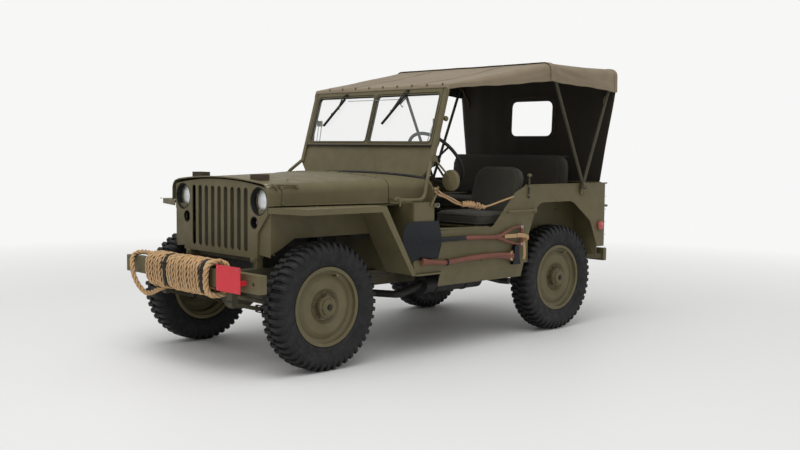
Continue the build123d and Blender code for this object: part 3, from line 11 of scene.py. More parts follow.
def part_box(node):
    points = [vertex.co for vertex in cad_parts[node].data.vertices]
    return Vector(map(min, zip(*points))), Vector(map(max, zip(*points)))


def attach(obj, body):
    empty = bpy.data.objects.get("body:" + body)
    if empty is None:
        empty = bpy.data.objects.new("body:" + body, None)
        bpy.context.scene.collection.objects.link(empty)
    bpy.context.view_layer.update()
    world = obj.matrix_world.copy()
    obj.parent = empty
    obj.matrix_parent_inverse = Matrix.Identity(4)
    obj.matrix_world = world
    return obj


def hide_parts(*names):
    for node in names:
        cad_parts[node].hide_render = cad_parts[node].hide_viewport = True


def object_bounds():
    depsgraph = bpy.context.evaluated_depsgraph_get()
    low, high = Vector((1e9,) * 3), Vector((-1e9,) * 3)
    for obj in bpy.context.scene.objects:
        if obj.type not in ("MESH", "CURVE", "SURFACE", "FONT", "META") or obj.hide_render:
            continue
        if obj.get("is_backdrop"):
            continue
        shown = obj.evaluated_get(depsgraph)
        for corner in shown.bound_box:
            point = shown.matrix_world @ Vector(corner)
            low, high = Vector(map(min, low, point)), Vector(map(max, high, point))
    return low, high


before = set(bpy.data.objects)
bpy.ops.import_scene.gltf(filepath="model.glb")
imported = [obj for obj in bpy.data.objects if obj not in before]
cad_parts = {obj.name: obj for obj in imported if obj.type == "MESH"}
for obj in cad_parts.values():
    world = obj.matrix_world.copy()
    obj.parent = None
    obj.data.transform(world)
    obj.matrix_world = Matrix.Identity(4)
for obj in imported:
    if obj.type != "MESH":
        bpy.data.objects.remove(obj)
CAD_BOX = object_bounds()

bl_info = {
    "name": "Army 4x4 Car",
    "version": (1, 0, 0),
    "blender": (4, 5, 0),
    "location": "3D View > Sidebar > Army Car",
    "description": "Canvas top, cushions, rope, tyres, fittings and finishes of a light army 4x4 car",
    "category": "Object",
}

# ---- places -------------------------------------------------------------------------------------
MID_WHEELBASE = 115
"""Millimetres from the middle of the wheelbase back to the frame's origin."""

WHEEL_BODIES = ("fl", "fr", "rl", "rr")
LEFT, RIGHT = 1, -1


def at(x, y, z):
    """The frame's metres for millimetres left of the middle, behind mid-wheelbase and above the ground."""
    return Vector((x / 1000, (y - MID_WHEELBASE) / 1000, z / 1000))


def mm(value):
    return value / 1000


def by(x, y, z):
    """An offset in millimetres."""
    return Vector((x, y, z)) / 1000


def middle(node):
    """The middle of a node's box."""
    low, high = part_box(node)
    return (low + high) / 2


SCREEN_FOOT_Z = 1237
SCREEN_FOOT = at(0, -147, SCREEN_FOOT_Z)
SCREEN_RAKE = math.radians(16)
SCREEN_UP = Vector((0, math.sin(SCREEN_RAKE), math.cos(SCREEN_RAKE)))
SCREEN_OUT = Vector((0, -math.cos(SCREEN_RAKE), math.sin(SCREEN_RAKE)))


def on_screen(x, up, out=0):
    """A place on the windscreen: millimetres across, up the glass from its foot, and out in front of it."""
    return SCREEN_FOOT + Vector((mm(x), 0, 0)) + SCREEN_UP * mm(up) + SCREEN_OUT * mm(out)


def up_screen(z):
    """Millimetres up the windscreen's slope to a height above the ground."""
    return (z - SCREEN_FOOT_Z) / math.cos(SCREEN_RAKE)


# ---- settings -----------------------------------------------------------------------------------
def colour(name, description, default):
    return FloatVectorProperty(
        name=name, description=description, subtype="COLOR", size=3, min=0, max=1, default=default
    )


def length(name, description, default):
    return FloatProperty(name=name, description=description, unit="LENGTH", min=0.0005, default=default)


class CarColours(bpy.types.PropertyGroup):
    """Colours of the car's finishes."""

    olive: colour("Olive Paint", "Matt paint of the body and wheels", (0.117, 0.099, 0.048))
    dark_olive: colour("Dark Olive", "Paint of the frame and axles", (0.055, 0.05, 0.03))
    canvas: colour("Canvas", "Outside of the top", (0.25, 0.198, 0.132))
    # Canvas Inside is the canvas darkened as painted shade for the underside of the top and the curtain
    canvas_inside_painted_shade: colour("Canvas Inside", "Shaded side of the top", (0.03, 0.026, 0.018))
    seat: colour("Seat Canvas", "Cushion covers", (0.052, 0.048, 0.037))
    rubber: colour("Rubber", "Tyres", (0.0055, 0.0056, 0.006))
    rope: colour("Rope", "Laid fibre of the tow rope", (0.64, 0.385, 0.185))
    webbing: colour("Webbing", "Safety strap and tool straps", (0.42, 0.25, 0.115))
    wood: colour("Wood", "Tool handles", (0.19, 0.068, 0.045))
    plate: colour("Plate", "Blank front plate", (0.62, 0.02, 0.035))


class CarSizes(bpy.types.PropertyGroup):
    """Sizes of the dressed pieces."""

    rope: length("Rope Diameter", "Thickness of the tow rope", 0.028)
    rope_lay: length("Rope Lay", "Length in which a strand goes once round the rope", 0.1)
    rope_turns: IntProperty(name="Rope Turns", description="Turns in each layer on the bumper", default=21,
                            min=4)
    lug_depth: length("Lug Depth", "How far the tread bars stand out", 0.016)
    lugs: IntProperty(name="Tread Bars", description="Bars in each of the two rows", default=48, min=8)
    canvas: length("Canvas Thickness", "Thickness of the doubled top cloth", 0.003)
    stitch: length("Stitch Pitch", "Distance from one stitch to the next", 0.012)


class CarStage(bpy.types.PropertyGroup):
    """Camera, floor and light."""

    lens: FloatProperty(name="Lens", description="Focal length on a 36 mm sensor", default=45.45, min=10)
    sky: FloatProperty(name="Sky Light", description="Strength of the even light", default=0.62, min=0)
    key: FloatProperty(name="Key Light", description="Strength of the soft box overhead", default=260.0,
                       min=0, unit="POWER")
    floor: colour("Floor", "Studio floor and backdrop", (0.86, 0.86, 0.85))


def colours():
    return bpy.context.scene.car_colours


def sizes():
    return bpy.context.scene.car_sizes


# ---- shapes -------------------------------------------------------------------------------------
def spun_frames(line, closed=False, across=None):
    """(side, up) at each point of a line, carried along it without twisting."""
    count = len(line)
    pairs = []
    side = None
    for i, point in enumerate(line):
        ahead = line[(i + 1) % count] if closed or i + 1 < count else point
        behind = line[i - 1] if closed or i else point
        along = (ahead - behind).normalized()
        if across is not None:
            side = across[i] if isinstance(across, list) else across
        elif side is None:
            side = along.orthogonal()
        side = (side - along * side.dot(along)).normalized()
        pairs.append((side, along.cross(side)))
    return pairs


def spoke(angle, right, up):
    """The direction at an angle from right towards up."""
    return right * math.cos(angle) + up * math.sin(angle)


def bent(places, steps):
    """An eased line through places in millimetres."""
    return eased([at(*place) for place in places], steps)


def round_turn(count, start=0):
    """Count even angles of one whole turn, from a start that is a share of a step."""
    return [2 * math.pi * (k + start) / count for k in range(count)]


def half_turn(steps, start=0):
    """The angles of half a turn in even steps, from a start in half turns."""
    return [math.pi * (k / steps + start) for k in range(steps + 1)]


def hoop(centre, right, up, angles):
    """Places round an ellipse: its centre, and how far it reaches right and up, in millimetres."""
    return [at(*centre) + spoke(a, Vector(right), Vector(up)) / 1000 for a in angles]


STITCH_SHARE = 0.36
"""Half a stitch as a share of the pitch."""
STITCH_SIZE, STITCH_LIFT = 1.1, 0.6
NO_RADIUS = 1e-5
"""The radius, in metres, that closes a round part on its axis."""


class Maker:
    """Gathers shapes into one mesh. Each face keeps the finish that its shape was made in.

    Places are in the frame's metres, and the sizes of what is made there are millimetres.
    """

    def __init__(self, finish="olive"):
        self.points = []
        self.faces = []
        self.marks = []
        self.finishes = []
        self.finish = finish

    def add(self, points, faces, finish=None):
        name = finish or self.finish
        if name not in self.finishes:
            self.finishes.append(name)
        start = len(self.points)
        self.points.extend(points)
        self.faces.extend([tuple(start + i for i in face) for face in faces])
        self.marks.extend([self.finishes.index(name)] * len(faces))

    def rings(self, rings, finish=None, closed=False):
        """Skin over rings of points that all have the same number of points."""
        sides = len(rings[0])
        faces = []
        spans = len(rings) if closed else len(rings) - 1
        for i in range(spans):
            a, b = i * sides, ((i + 1) % len(rings)) * sides
            for k in range(sides):
                n = (k + 1) % sides
                faces.append((a + k, a + n, b + n, b + k))
        if not closed:
            faces.append(tuple(reversed(range(sides))))
            last = (len(rings) - 1) * sides
            faces.append(tuple(last + k for k in range(sides)))
        self.add([point for ring in rings for point in ring], faces, finish)

    def tube(self, line, radius, sides=10, finish=None, closed=False):
        """A round bar along a line. The radius is one number or one for each point."""
        rings = []
        for i, (side, up) in enumerate(spun_frames(line, closed)):
            r = mm(radius[i] if isinstance(radius, (list, tuple)) else radius)
            rings.append([line[i] + spoke(a, side, up) * r for a in round_turn(sides)])
        self.rings(rings, finish, closed)

    def strap(self, line, across, width, thick, finish=None, closed=False):
        """A flat band along a line, its width along the across direction."""
        w, t = mm(width) / 2, mm(thick) / 2
        soft = min(t * 0.8, w / 3)
        outline = [(-w, -t + soft), (-w + soft, -t), (w - soft, -t), (w, -t + soft)]
        outline += [(w, t - soft), (w - soft, t), (-w + soft, t), (-w, t - soft)]
        rings = []
        for point, (side, up) in zip(line, spun_frames(line, closed, across)):
            rings.append([point + side * a + up * b for a, b in outline])
        self.rings(rings, finish, closed)

    def turned(self, outline, place, axis, steps=32, finish=None):
        """A round part from (along, radius) points. A radius of 0 closes it."""
        axis = Vector(axis).normalized()
        side = axis.orthogonal().normalized()
        up = axis.cross(side)
        rings = []
        for along, radius in outline:
            r = max(mm(radius), NO_RADIUS)
            rings.append([place + axis * mm(along) + spoke(a, side, up) * r for a in round_turn(steps)])
        self.rings(rings, finish)

    def block(self, low, high, soft=2, finish=None, turn=None):
        """A box with its edges eased, turned about its middle if asked."""
        low, high = Vector(low), Vector(high)
        size, centre = (high - low) / 2, (low + high) / 2
        soft = min(mm(soft), min(size) * 0.9)
        rings = []
        for z, inset in ((-size.z, soft), (-size.z + soft, 0), (size.z - soft, 0), (size.z, soft)):
            x, y = size.x - inset, size.y - inset
            ring = []
            for sx, sy in ((1, 1), (-1, 1), (-1, -1), (1, -1)):
                first, second = (x, y - soft), (x - soft, y)
                if sx * sy < 0:
                    first, second = second, first
                ring += [centre + Vector((sx * px, sy * py, z)) for px, py in (first, second)]
            rings.append(ring)
        if turn is not None:
            rings = [[centre + turn @ (p - centre) for p in ring] for ring in rings]
        self.rings(rings, finish)

    def lump(self, centre, reach, soft, finish=None, turn=None):
        """A block about its centre, reaching as far as (x, y, z) each way."""
        reach = Vector(reach) / 1000
        self.block(centre - reach, centre + reach, soft, finish, turn)

    def cut_plate(self, outline, place, right, up, thick, soft):
        """A flat part cut to an outline of (right, up) points, standing thick out of its place."""
        out = right.cross(up).normalized()
        centre = Vector((sum(p[0] for p in outline), sum(p[1] for p in outline))) / len(outline)
        rings = []
        for depth, inset in ((0, 0), (thick - soft, 0), (thick, soft)):
            ring = []
            for a, b in outline:
                pull = (centre - Vector((a, b))).normalized() * inset
                ring.append(place + right * mm(a + pull.x) + up * mm(b + pull.y) + out * mm(depth))
            rings.append(ring)
        self.rings(rings)

    def bolt(self, place, axis, size, finish=None, washer=True, rise=None):
        """A hexagon head on a washer."""
        rise = rise or size * 0.7
        if washer:
            disc = [(0, 0), (0, size * 1.35), (size * 0.2, size * 1.3), (size * 0.2, 0)]
            self.turned(disc, place, axis, 14, finish)
        head = [(0, 0), (0, size), (rise * 0.8, size), (rise, size * 0.8), (rise, 0)]
        self.turned(head, place, axis, 6, finish)

    def rivet(self, place, axis, size, finish=None):
        """A low round head."""
        dome = [(0, size), (size * 0.35, size * 0.85), (size * 0.55, size * 0.45), (size * 0.6, 0)]
        self.turned(dome, place, axis, 10, finish)

    def stitches(self, line, out):
        """Short raised stitches along a line on a surface. Out is one direction or one for each point."""
        pitch = sizes().stitch
        for place, along, up in evenly(line, out, pitch):
            half = along * pitch * STITCH_SHARE
            centre = place + up * mm(STITCH_LIFT)
            side = along.cross(up).normalized() * mm(STITCH_SIZE)
            top = up * mm(STITCH_SIZE)
            a, b, c = centre - half, centre, centre + half
            points = [a, b + side, b + top, b - side, c]
            self.add(points, [(0, 1, 2), (0, 2, 3), (4, 2, 1), (4, 3, 2), (0, 3, 1), (4, 1, 3)], "thread")


def evenly(line, out, pitch):
    """(place, along, out) at even steps along a line."""
    left = pitch / 2
    for i, (a, b) in enumerate(zip(line, line[1:])):
        run = (b - a).length
        if run < 1e-7:
            continue
        along = (b - a) / run
        while left < run:
            yield a + along * left, along, (out[i] if isinstance(out, list) else out)
            left += pitch
        left -= run


def show(obj):
    bpy.context.scene.collection.objects.link(obj)
    return obj


def piece(name, maker, body="chassis", replaces=(), sharp=35):
    """One object from a maker's shapes, riding on a body of the car."""
    mesh = bpy.data.meshes.new(name)
    mesh.from_pydata(maker.points, [], maker.faces)
    for finish in maker.finishes:
        mesh.materials.append(FINISHES[finish])
    mesh.polygons.foreach_set("material_index", maker.marks)
    mesh.shade_smooth()
    mesh.set_sharp_from_angle(angle=math.radians(sharp))
    mesh.update()
    obj = show(bpy.data.objects.new(name, mesh))
    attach(obj, body)
    if replaces:
        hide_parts(*replaces)
    return obj


def eased(points, steps=6, closed=False):
    """A smooth line through a few points."""
    count = len(points)
    line = []
    for i in range(count if closed else count - 1):
        p1, p2 = points[i], points[(i + 1) % count]
        p0 = points[i - 1] if closed or i else p1
        p3 = points[(i + 2) % count] if closed or i + 2 < count else p2
        for k in range(steps):
            t = k / steps
            a, b = 2 * p1, (p2 - p0) * t
            c = (2 * p0 - 5 * p1 + 4 * p2 - p3) * t * t
            d = (3 * p1 - p0 - 3 * p2 + p3) * t**3
            line.append((a + b + c + d) / 2)
    if not closed:
        line.append(points[-1].copy())
    return line


def arc(centre, right, up, radius, start, end, steps=12):
    """Points round part of a circle, in degrees from right towards up."""
    turns = [math.radians(start + (end - start) * k / steps) for k in range(steps + 1)]
    return [centre + spoke(a, right, up) * radius for a in turns]


X, Y, Z = Vector((1, 0, 0)), Vector((0, 1, 0)), Vector((0, 0, 1))

# ---- finishes -----------------------------------------------------------------------------------
FINISHES = {}


class Shader:
    """A procedural material built up on the Principled shader, in the car's own metres."""

    def __init__(self, name, base, rough=0.6, metal=0.0, **sockets):
        self.material = bpy.data.materials.new(name)
        self.material.use_nodes = True
        self.tree = self.material.node_tree
        self.skin = self.tree.nodes["Principled BSDF"]
        self.skin.inputs["Base Color"].default_value = (*base, 1)
        self.skin.inputs["Roughness"].default_value = rough
        self.skin.inputs["Metallic"].default_value = metal
        for socket, value in sockets.items():
            self.skin.inputs[socket.replace("_", " ")].default_value = value
        self.base = base
        self.place = self.node("ShaderNodeTexCoord").outputs["Object"]
        self.height = None
        self.material.diffuse_color = (*base, 1)
        FINISHES[name] = self.material

    def node(self, kind, **inputs):
        made = self.tree.nodes.new(kind)
        for socket, value in inputs.items():
            self.put(made, socket.replace("_", " "), value)
        return made

    def put(self, node, socket, value):
        if isinstance(value, bpy.types.NodeSocket):
            self.tree.links.new(value, node.inputs[socket])
        else:
            node.inputs[socket].default_value = value

    def stretched(self, scale):
        """The car's coordinates scaled differently along each axis."""
        return self.node("ShaderNodeMapping", Vector=self.place, Scale=scale).outputs["Vector"]

    def noise(self, scale, detail=3, rough=0.55, place=None, distortion=0.0):
        made = self.node("ShaderNodeTexNoise", Vector=place or self.place, Scale=scale, Detail=detail)
        made.inputs["Roughness"].default_value = rough
        made.inputs["Distortion"].default_value = distortion
        return made.outputs["Fac"]

    def bands(self, scale, direction="X", place=None, distortion=0.0):
        made = self.node("ShaderNodeTexWave", Vector=place or self.place, Scale=scale, Distortion=distortion)
        made.bands_direction = direction
        return made.outputs["Fac"]

    def spread(self, fac, low, high, out_low=0.0, out_high=1.0):
        made = self.node("ShaderNodeMapRange", Value=fac)
        for socket, value in zip(("From Min", "From Max", "To Min", "To Max"),
                                 (low, high, out_low, out_high)):
            made.inputs[socket].default_value = value
        return made.outputs["Result"]

    def sum(self, kind, a, b):
        made = self.node("ShaderNodeMath")
        made.operation = kind
        self.put(made, 0, a)
        self.put(made, 1, b)
        return made.outputs[0]

    def blend(self, fac, other):
        """Lays another colour over what the shader has so far."""
        made = self.node("ShaderNodeMix")
        made.data_type = "RGBA"
        self.put(made, 0, fac)
        old = self.skin.inputs["Base Color"]
        if old.is_linked:
            self.tree.links.new(old.links[0].from_socket, made.inputs[6])
        else:
            made.inputs[6].default_value = old.default_value
        self.put(made, 7, other if isinstance(other, bpy.types.NodeSocket) else (*other, 1))
        self.tree.links.new(made.outputs[2], old)
        return self

    def roughen(self, fac, low, high):
        self.put(self.skin, "Roughness", self.spread(fac, 0.3, 0.7, low, high))
        return self

    def bump(self, height, strength, distance):
        """Adds relief, in metres, under what is there already."""
        made = self.node("ShaderNodeBump", Strength=strength, Distance=distance, Height=height)
        normal = self.skin.inputs["Normal"]
        if normal.is_linked:
            self.tree.links.new(normal.links[0].from_socket, made.inputs["Normal"])
        self.tree.links.new(made.outputs["Normal"], normal)
        return self

    def crevices(self, reach, low, high):
        """How deep in a hollow a place is: 1 in the hollow. Used to paint shade into hollows."""
        made = self.node("ShaderNodeAmbientOcclusion", Distance=reach)
        made.samples = 4
        return self.spread(made.outputs["AO"], low, high, 1.0, 0.0)

    def edges(self, radius):
        """How near a hard edge is: 1 on the edge."""
        soft = self.node("ShaderNodeBevel", Radius=radius)
        soft.samples = 4
        flat = self.node("ShaderNodeNewGeometry").outputs["Normal"]
        dot = self.node("ShaderNodeVectorMath")
        dot.operation = "DOT_PRODUCT"
        self.tree.links.new(soft.outputs[0], dot.inputs[0])
        self.tree.links.new(flat, dot.inputs[1])
        return self.spread(self.sum("SUBTRACT", 1.0, dot.outputs["Value"]), 0.02, 0.2)


def shade(base, factor):
    return tuple(min(1, c * factor) for c in base)


DUST = (0.2, 0.17, 0.12)
RUST = (0.09, 0.05, 0.03)


def dusty(shader, amount):
    """Dust that lies thicker low down on the car."""
    height = shader.node("ShaderNodeSeparateXYZ", Vector=shader.place).outputs["Z"]
    low = shader.spread(height, 0.75, 0.25)
    patches = shader.spread(shader.noise(9, 5), 0.4, 0.75)
    shader.blend(shader.sum("MULTIPLY", shader.sum("MULTIPLY", low, patches), amount), DUST)


def paint(name, base, rough=0.55, worn=(0.25, 0.22, 0.16), wear=0.5, dust=0.3):
    """Brushed-on matt paint: uneven in tone, faded in patches, rubbed along its edges."""
    s = Shader(name, base, rough, Specular_IOR_Level=0.35)
    s.blend(s.spread(s.noise(2.3, 4), 0.35, 0.7, 0, 0.55), shade(base, 1.28))
    s.blend(s.spread(s.noise(11, 5), 0.45, 0.75, 0, 0.4), shade(base, 0.74))
    s.blend(s.spread(s.noise(170, 2), 0.55, 0.8, 0, 0.25), shade(base, 1.5))
    rubbed = s.sum("MULTIPLY", s.edges(0.0025), s.spread(s.noise(45, 4), 0.42, 0.62))
    s.blend(s.sum("MULTIPLY", rubbed, wear), worn)
    dusty(s, dust)
    s.roughen(s.noise(14, 4), rough - 0.08, rough + 0.16)
    s.bump(s.noise(420, 2), 0.12, 0.0006)
    s.bump(s.noise(6, 2), 0.1, 0.004)
    return s


def cloth(name, base, thread=0.0016, faded=1.3, wrinkle=0.3):
    """Woven canvas: warp and weft relief, painted shade where the threads dip, slubs, and faded and stained
    patches.
    """
    s = Shader(name, base, 0.88, Specular_IOR_Level=0.2, Sheen_Weight=0.12, Sheen_Roughness=0.5)
    s.blend(s.spread(s.noise(3.1, 5), 0.38, 0.7, 0, 0.6), shade(base, faded))
    s.blend(s.spread(s.noise(8, 6, 0.65), 0.5, 0.8, 0, 0.5), shade(base, 0.75))
    s.blend(s.spread(s.noise(90, 3), 0.5, 0.8, 0, 0.28), shade(base, 1.45))
    scale = 0.314 / thread
    slanted = s.node("ShaderNodeMapping", Vector=s.place, Rotation=(math.radians(45), 0, 0)).outputs["Vector"]
    weft = s.bands(scale, "X", slanted, 0.4)
    warp = s.bands(scale, "Y", slanted, 0.4)
    weave = s.sum("MULTIPLY", weft, warp)
    # painted shade: the colour darkens where warp and weft dip between their crossings
    s.blend(s.spread(weave, 0.0, 0.6, 0.22, 0.0), shade(base, 0.55))
    s.bump(weave, 0.5, thread * 0.3)
    s.bump(s.noise(26, 4), wrinkle, 0.004)
    return s


def rubber(name, base):
    s = Shader(name, base, 0.72, Specular_IOR_Level=0.4)
    s.blend(s.spread(s.noise(7, 5), 0.4, 0.7, 0, 0.55), shade(base, 1.6))
    s.blend(s.spread(s.noise(55, 4), 0.52, 0.75, 0, 0.2), (0.06, 0.05, 0.042))
    s.roughen(s.noise(24, 4), 0.58, 0.85)
    s.bump(s.noise(260, 3), 0.2, 0.0008)
    return s


def fibre(name, base, scale):
    """Rough laid or woven fibre, straw pale on its high threads, with painted shade in its hollows."""
    s = Shader(name, base, 0.9, Specular_IOR_Level=0.15, Sheen_Weight=0.2)
    s.blend(s.spread(s.noise(scale * 0.12, 5), 0.35, 0.7, 0, 0.6), shade(base, 1.35))
    s.blend(s.spread(s.noise(scale * 0.5, 4), 0.45, 0.75, 0, 0.6), shade(base, 0.55))
    hairs = s.noise(scale, 4, 0.7, distortion=1.5)
    s.blend(s.spread(hairs, 0.45, 0.7, 0, 0.55), shade(base, 1.8))
    s.blend(s.spread(s.noise(22, 4), 0.5, 0.62, 0, 0.45), (base[0] * 0.85, base[0] * 0.72, base[0] * 0.5))
    # painted shade: darkened where ambient occlusion finds a hollow, between strands and against the body
    s.blend(s.crevices(0.025, 0.5, 0.95), shade(base, 0.12))
    s.bump(hairs, 0.6, 0.0012)
    return s


def timber(name, base, along, rough=0.5):
    """Wood with its grain along one axis: x 0, y 1 or z 2."""
    s = Shader(name, base, rough, Specular_IOR_Level=0.3)
    scale = [60.0, 60.0, 60.0]
    scale[along] = 2.5
    grain = s.noise(1.0, 6, 0.7, s.stretched(scale), 0.6)
    s.blend(s.spread(grain, 0.35, 0.7, 0, 0.75), shade(base, 0.45))
    s.blend(s.spread(s.noise(7, 4), 0.42, 0.75, 0, 0.5), shade(base, 1.5))
    s.roughen(grain, rough - 0.08, rough + 0.2)
    s.bump(grain, 0.35, 0.0008)
    return s


def metal(name, base, rough, shine=1.0, stained=0.3):
    """Bare or blued metal, scuffed and a little stained."""
    s = Shader(name, base, rough, shine)
    s.blend(s.spread(s.noise(38, 5), 0.45, 0.72, 0, 0.5), shade(base, 0.6))
    s.blend(s.spread(s.noise(15, 6, 0.7), 0.55, 0.75, 0, stained), RUST)
    s.roughen(s.noise(60, 4), rough - 0.08, rough + 0.2)
    s.bump(s.noise(200, 3), 0.15, 0.0006)
    return s


def lens(name, base, ribs, shine=0.4):
    """Pressed lamp glass with upright ribs over a bright bowl."""
    s = Shader(name, base, 0.1, shine, Coat_Weight=1.0, Coat_Roughness=0.03)
    s.blend(s.spread(s.noise(30, 3), 0.4, 0.7, 0, 0.35), shade(base, 0.7))
    s.bump(s.bands(0.314 / ribs, "X"), 0.5, 0.001)
    return s


def clear_glass(name):
    s = Shader(name, (0.75, 0.8, 0.76), 0.03, Alpha=0.09)
    s.put(s.skin, "Roughness", s.spread(s.noise(12, 4), 0.4, 0.7, 0.02, 0.07))
    return s


def make_finishes():
    c = colours()
    paint("olive", tuple(c.olive))
    paint("dark_olive", tuple(c.dark_olive), 0.68, wear=0.3, dust=0.6)
    paint("red_paint", tuple(c.plate), 0.35, worn=(0.7, 0.3, 0.3), wear=0.2, dust=0.0)
    paint("black_paint", (0.0035, 0.0035, 0.004), 0.45, wear=0.2, dust=0.0)
    cloth("canvas", tuple(c.canvas))
    # the inside canvas is the same cloth darkened as painted shade
    cloth("canvas_inside_painted_shade", tuple(c.canvas_inside_painted_shade), wrinkle=0.15)
    cloth("seat_canvas", tuple(c.seat), thread=0.0014)
    cloth("piping", shade(tuple(c.seat), 1.35), thread=0.001)
    cloth("thread", (0.2, 0.17, 0.11), thread=0.0008, wrinkle=0)
    rubber("rubber", tuple(c.rubber))
    rubber("black_grip", (0.014, 0.013, 0.012))
    fibre("rope", tuple(c.rope), 520)
    fibre("webbing", tuple(c.webbing), 900)
    timber("wood", tuple(c.wood), 1, 0.42)
    timber("block_wood", (0.075, 0.058, 0.04), 0, 0.8)
    metal("dark_iron", (0.035, 0.034, 0.033), 0.55, 0.7, stained=0.5)
    metal("steel", (0.32, 0.32, 0.31), 0.32)
    metal("blued_steel", (0.008, 0.01, 0.0135), 0.24, 0.55, stained=0.12)
    metal("bright", (0.72, 0.72, 0.7), 0.12, stained=0.02)
    metal("brass", (0.45, 0.3, 0.1), 0.35, stained=0.25)
    cloth("leather", (0.009, 0.008, 0.006), thread=0.003, faded=2.2)
    lens("headlamp_lens", (0.86, 0.88, 0.89), 0.006, 0.2)
    lens("marker_lens", (0.28, 0.24, 0.4), 0.004)
    lens("red_lens", (0.45, 0.012, 0.01), 0.004, 0.05)
    clear_glass("clear_glass")
    dial = Shader("dial", (0.018, 0.02, 0.018), 0.5)
    dial.blend(dial.spread(dial.noise(90, 3), 0.5, 0.8, 0, 0.3), (0.05, 0.05, 0.045))
    ink = Shader("dial_marks", (0.7, 0.68, 0.55), 0.6)
    ink.blend(ink.spread(ink.noise(200, 2), 0.5, 0.8, 0, 0.3), (0.5, 0.48, 0.38))


CAD_FINISHES = {
    "olive_paint": "olive",
    "worn_steel": "blued_steel",
    "tyre_rubber": "rubber",
    "lamp_glass": "headlamp_lens",
}


def finish_cad_nodes():
    """Every node that shows takes the procedural finish of its material slot."""
    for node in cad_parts.values():
        for slot in node.material_slots:
            plain = slot.material.name.split(".")[0]
            slot.material = FINISHES[CAD_FINISHES.get(plain, plain)]


# ---- stage --------------------------------------------------------------------------------------
CAMERA_PLACE = Vector((4.9267, -4.6107, 1.2283))
CAMERA_YAW = math.radians(-46.615)
CAMERA_PITCH = math.radians(-4.351)
CAMERA_ROLL = math.radians(0.552)


def make_camera(lens):
    ahead = spoke(CAMERA_YAW, Y, X) * math.cos(CAMERA_PITCH)
    ahead.z = math.sin(CAMERA_PITCH)
    level = ahead.cross(Z).normalized()
    upright = level.cross(ahead)
    right, up = spoke(CAMERA_ROLL, level, upright), spoke(CAMERA_ROLL, upright, -level)
    data = bpy.data.cameras.new("camera")
    data.lens = lens
    camera = show(bpy.data.objects.new("camera", data))
    turn = Matrix((right, up, -ahead)).transposed().to_4x4()
    camera.matrix_world = Matrix.Translation(CAMERA_PLACE) @ turn
    bpy.context.scene.camera = camera


def make_sky(strength):
    """Even light all round, and plain white behind the car."""
    world = bpy.data.worlds.new("studio")
    world.use_nodes = True
    bpy.context.scene.world = world
    nodes, links = world.node_tree.nodes, world.node_tree.links
    light = nodes["Background"]
    light.inputs["Strength"].default_value = strength
    white = nodes.new("ShaderNodeBackground")
    rays = nodes.new("ShaderNodeLightPath")
    seen = nodes.new("ShaderNodeMath")
    seen.operation = "MAXIMUM"
    seen_all = nodes.new("ShaderNodeMath")
    seen_all.operation = "MAXIMUM"
    mix = nodes.new("ShaderNodeMixShader")
    links.new(rays.outputs["Is Camera Ray"], seen.inputs[0])
    links.new(rays.outputs["Is Glossy Ray"], seen.inputs[1])
    links.new(seen.outputs[0], seen_all.inputs[0])
    links.new(rays.outputs["Is Transmission Ray"], seen_all.inputs[1])
    links.new(seen_all.outputs[0], mix.inputs[0])
    links.new(light.outputs[0], mix.inputs[1])
    links.new(white.outputs[0], mix.inputs[2])
    links.new(mix.outputs[0], nodes["World Output"].inputs["Surface"])
    light.inputs["Color"].default_value = (1, 1, 1, 1)
    white.inputs["Color"].default_value = (0.93, 0.93, 0.925, 1)


FLOOR_REACH = 40
FLOOR_FADE = (3.2, 7.5)


def make_floor(base):
    """A pale floor that keeps the car's shadow and fades into the backdrop."""
    mesh = bpy.data.meshes.new("floor")
    rim = [spoke(a, X, Y) * FLOOR_REACH for a in round_turn(48)]
    mesh.from_pydata(rim, [], [tuple(range(len(rim)))])
    floor = show(bpy.data.objects.new("floor", mesh))
    s = Shader("floor", base, 0.6)
    s.blend(s.spread(s.noise(0.7, 3), 0.3, 0.7, 0, 0.2), shade(base, 0.98))
    far = s.node("ShaderNodeVectorMath")
    far.operation = "LENGTH"
    s.tree.links.new(s.place, far.inputs[0])
    away = s.spread(far.outputs["Value"], *FLOOR_FADE)
    seen = s.node("ShaderNodeLightPath").outputs["Is Camera Ray"]
    glow = s.node("ShaderNodeEmission", Color=(0.93, 0.93, 0.925, 1), Strength=1.0)
    mix = s.node("ShaderNodeMixShader")
    s.tree.links.new(s.sum("MULTIPLY", away, seen), mix.inputs[0])
    s.tree.links.new(s.skin.outputs[0], mix.inputs[1])
    s.tree.links.new(glow.outputs[0], mix.inputs[2])
    s.tree.links.new(mix.outputs[0], s.tree.nodes["Material Output"].inputs["Surface"])
    mesh.materials.append(s.material)
    floor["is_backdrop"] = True


def make_light(name, place, target, width, power):
    data = bpy.data.lights.new(name, "AREA")
    data.shape, data.size, data.size_y, data.energy = "RECTANGLE", width, width, power
    lamp = show(bpy.data.objects.new(name, data))
    lamp.location = place
    lamp.rotation_mode = "QUATERNION"
    lamp.rotation_quaternion = (Vector(place) - Vector(target)).to_track_quat("Z", "Y")


# ---- rope ---------------------------------------------------------------------------------------
ROPE_ENDS = (-0.383, 0.222)
"""Where the first and last turns cross the bumper's front."""
ROPE_BACK_ENDS = (-0.300, 0.222)
"""The same behind the bumper, clear of the frame rail."""
TURN_POINTS = 16
STRAP_PLACES = (-0.172, 0.214)
END_TURNS = ((0.247, 0.262), (0.252, 0.290))
ROPE_LOOP = (
    (-0.397, -1.569, 0.588),
    (-0.485, -1.570, 0.591),
    (-0.555, -1.578, 0.591),
    (-0.590, -1.599, 0.579),
    (-0.582, -1.624, 0.548),
    (-0.562, -1.634, 0.508),
    (-0.548, -1.635, 0.462),
    (-0.518, -1.629, 0.412),
    (-0.478, -1.619, 0.374),
    (-0.438, -1.611, 0.354),
    (-0.390, -1.603, 0.360),
    (-0.330, -1.599, 0.386),
)
ROPE_TAIL = ((-0.290, -1.594, 0.402), (-0.262, -1.588, 0.410))


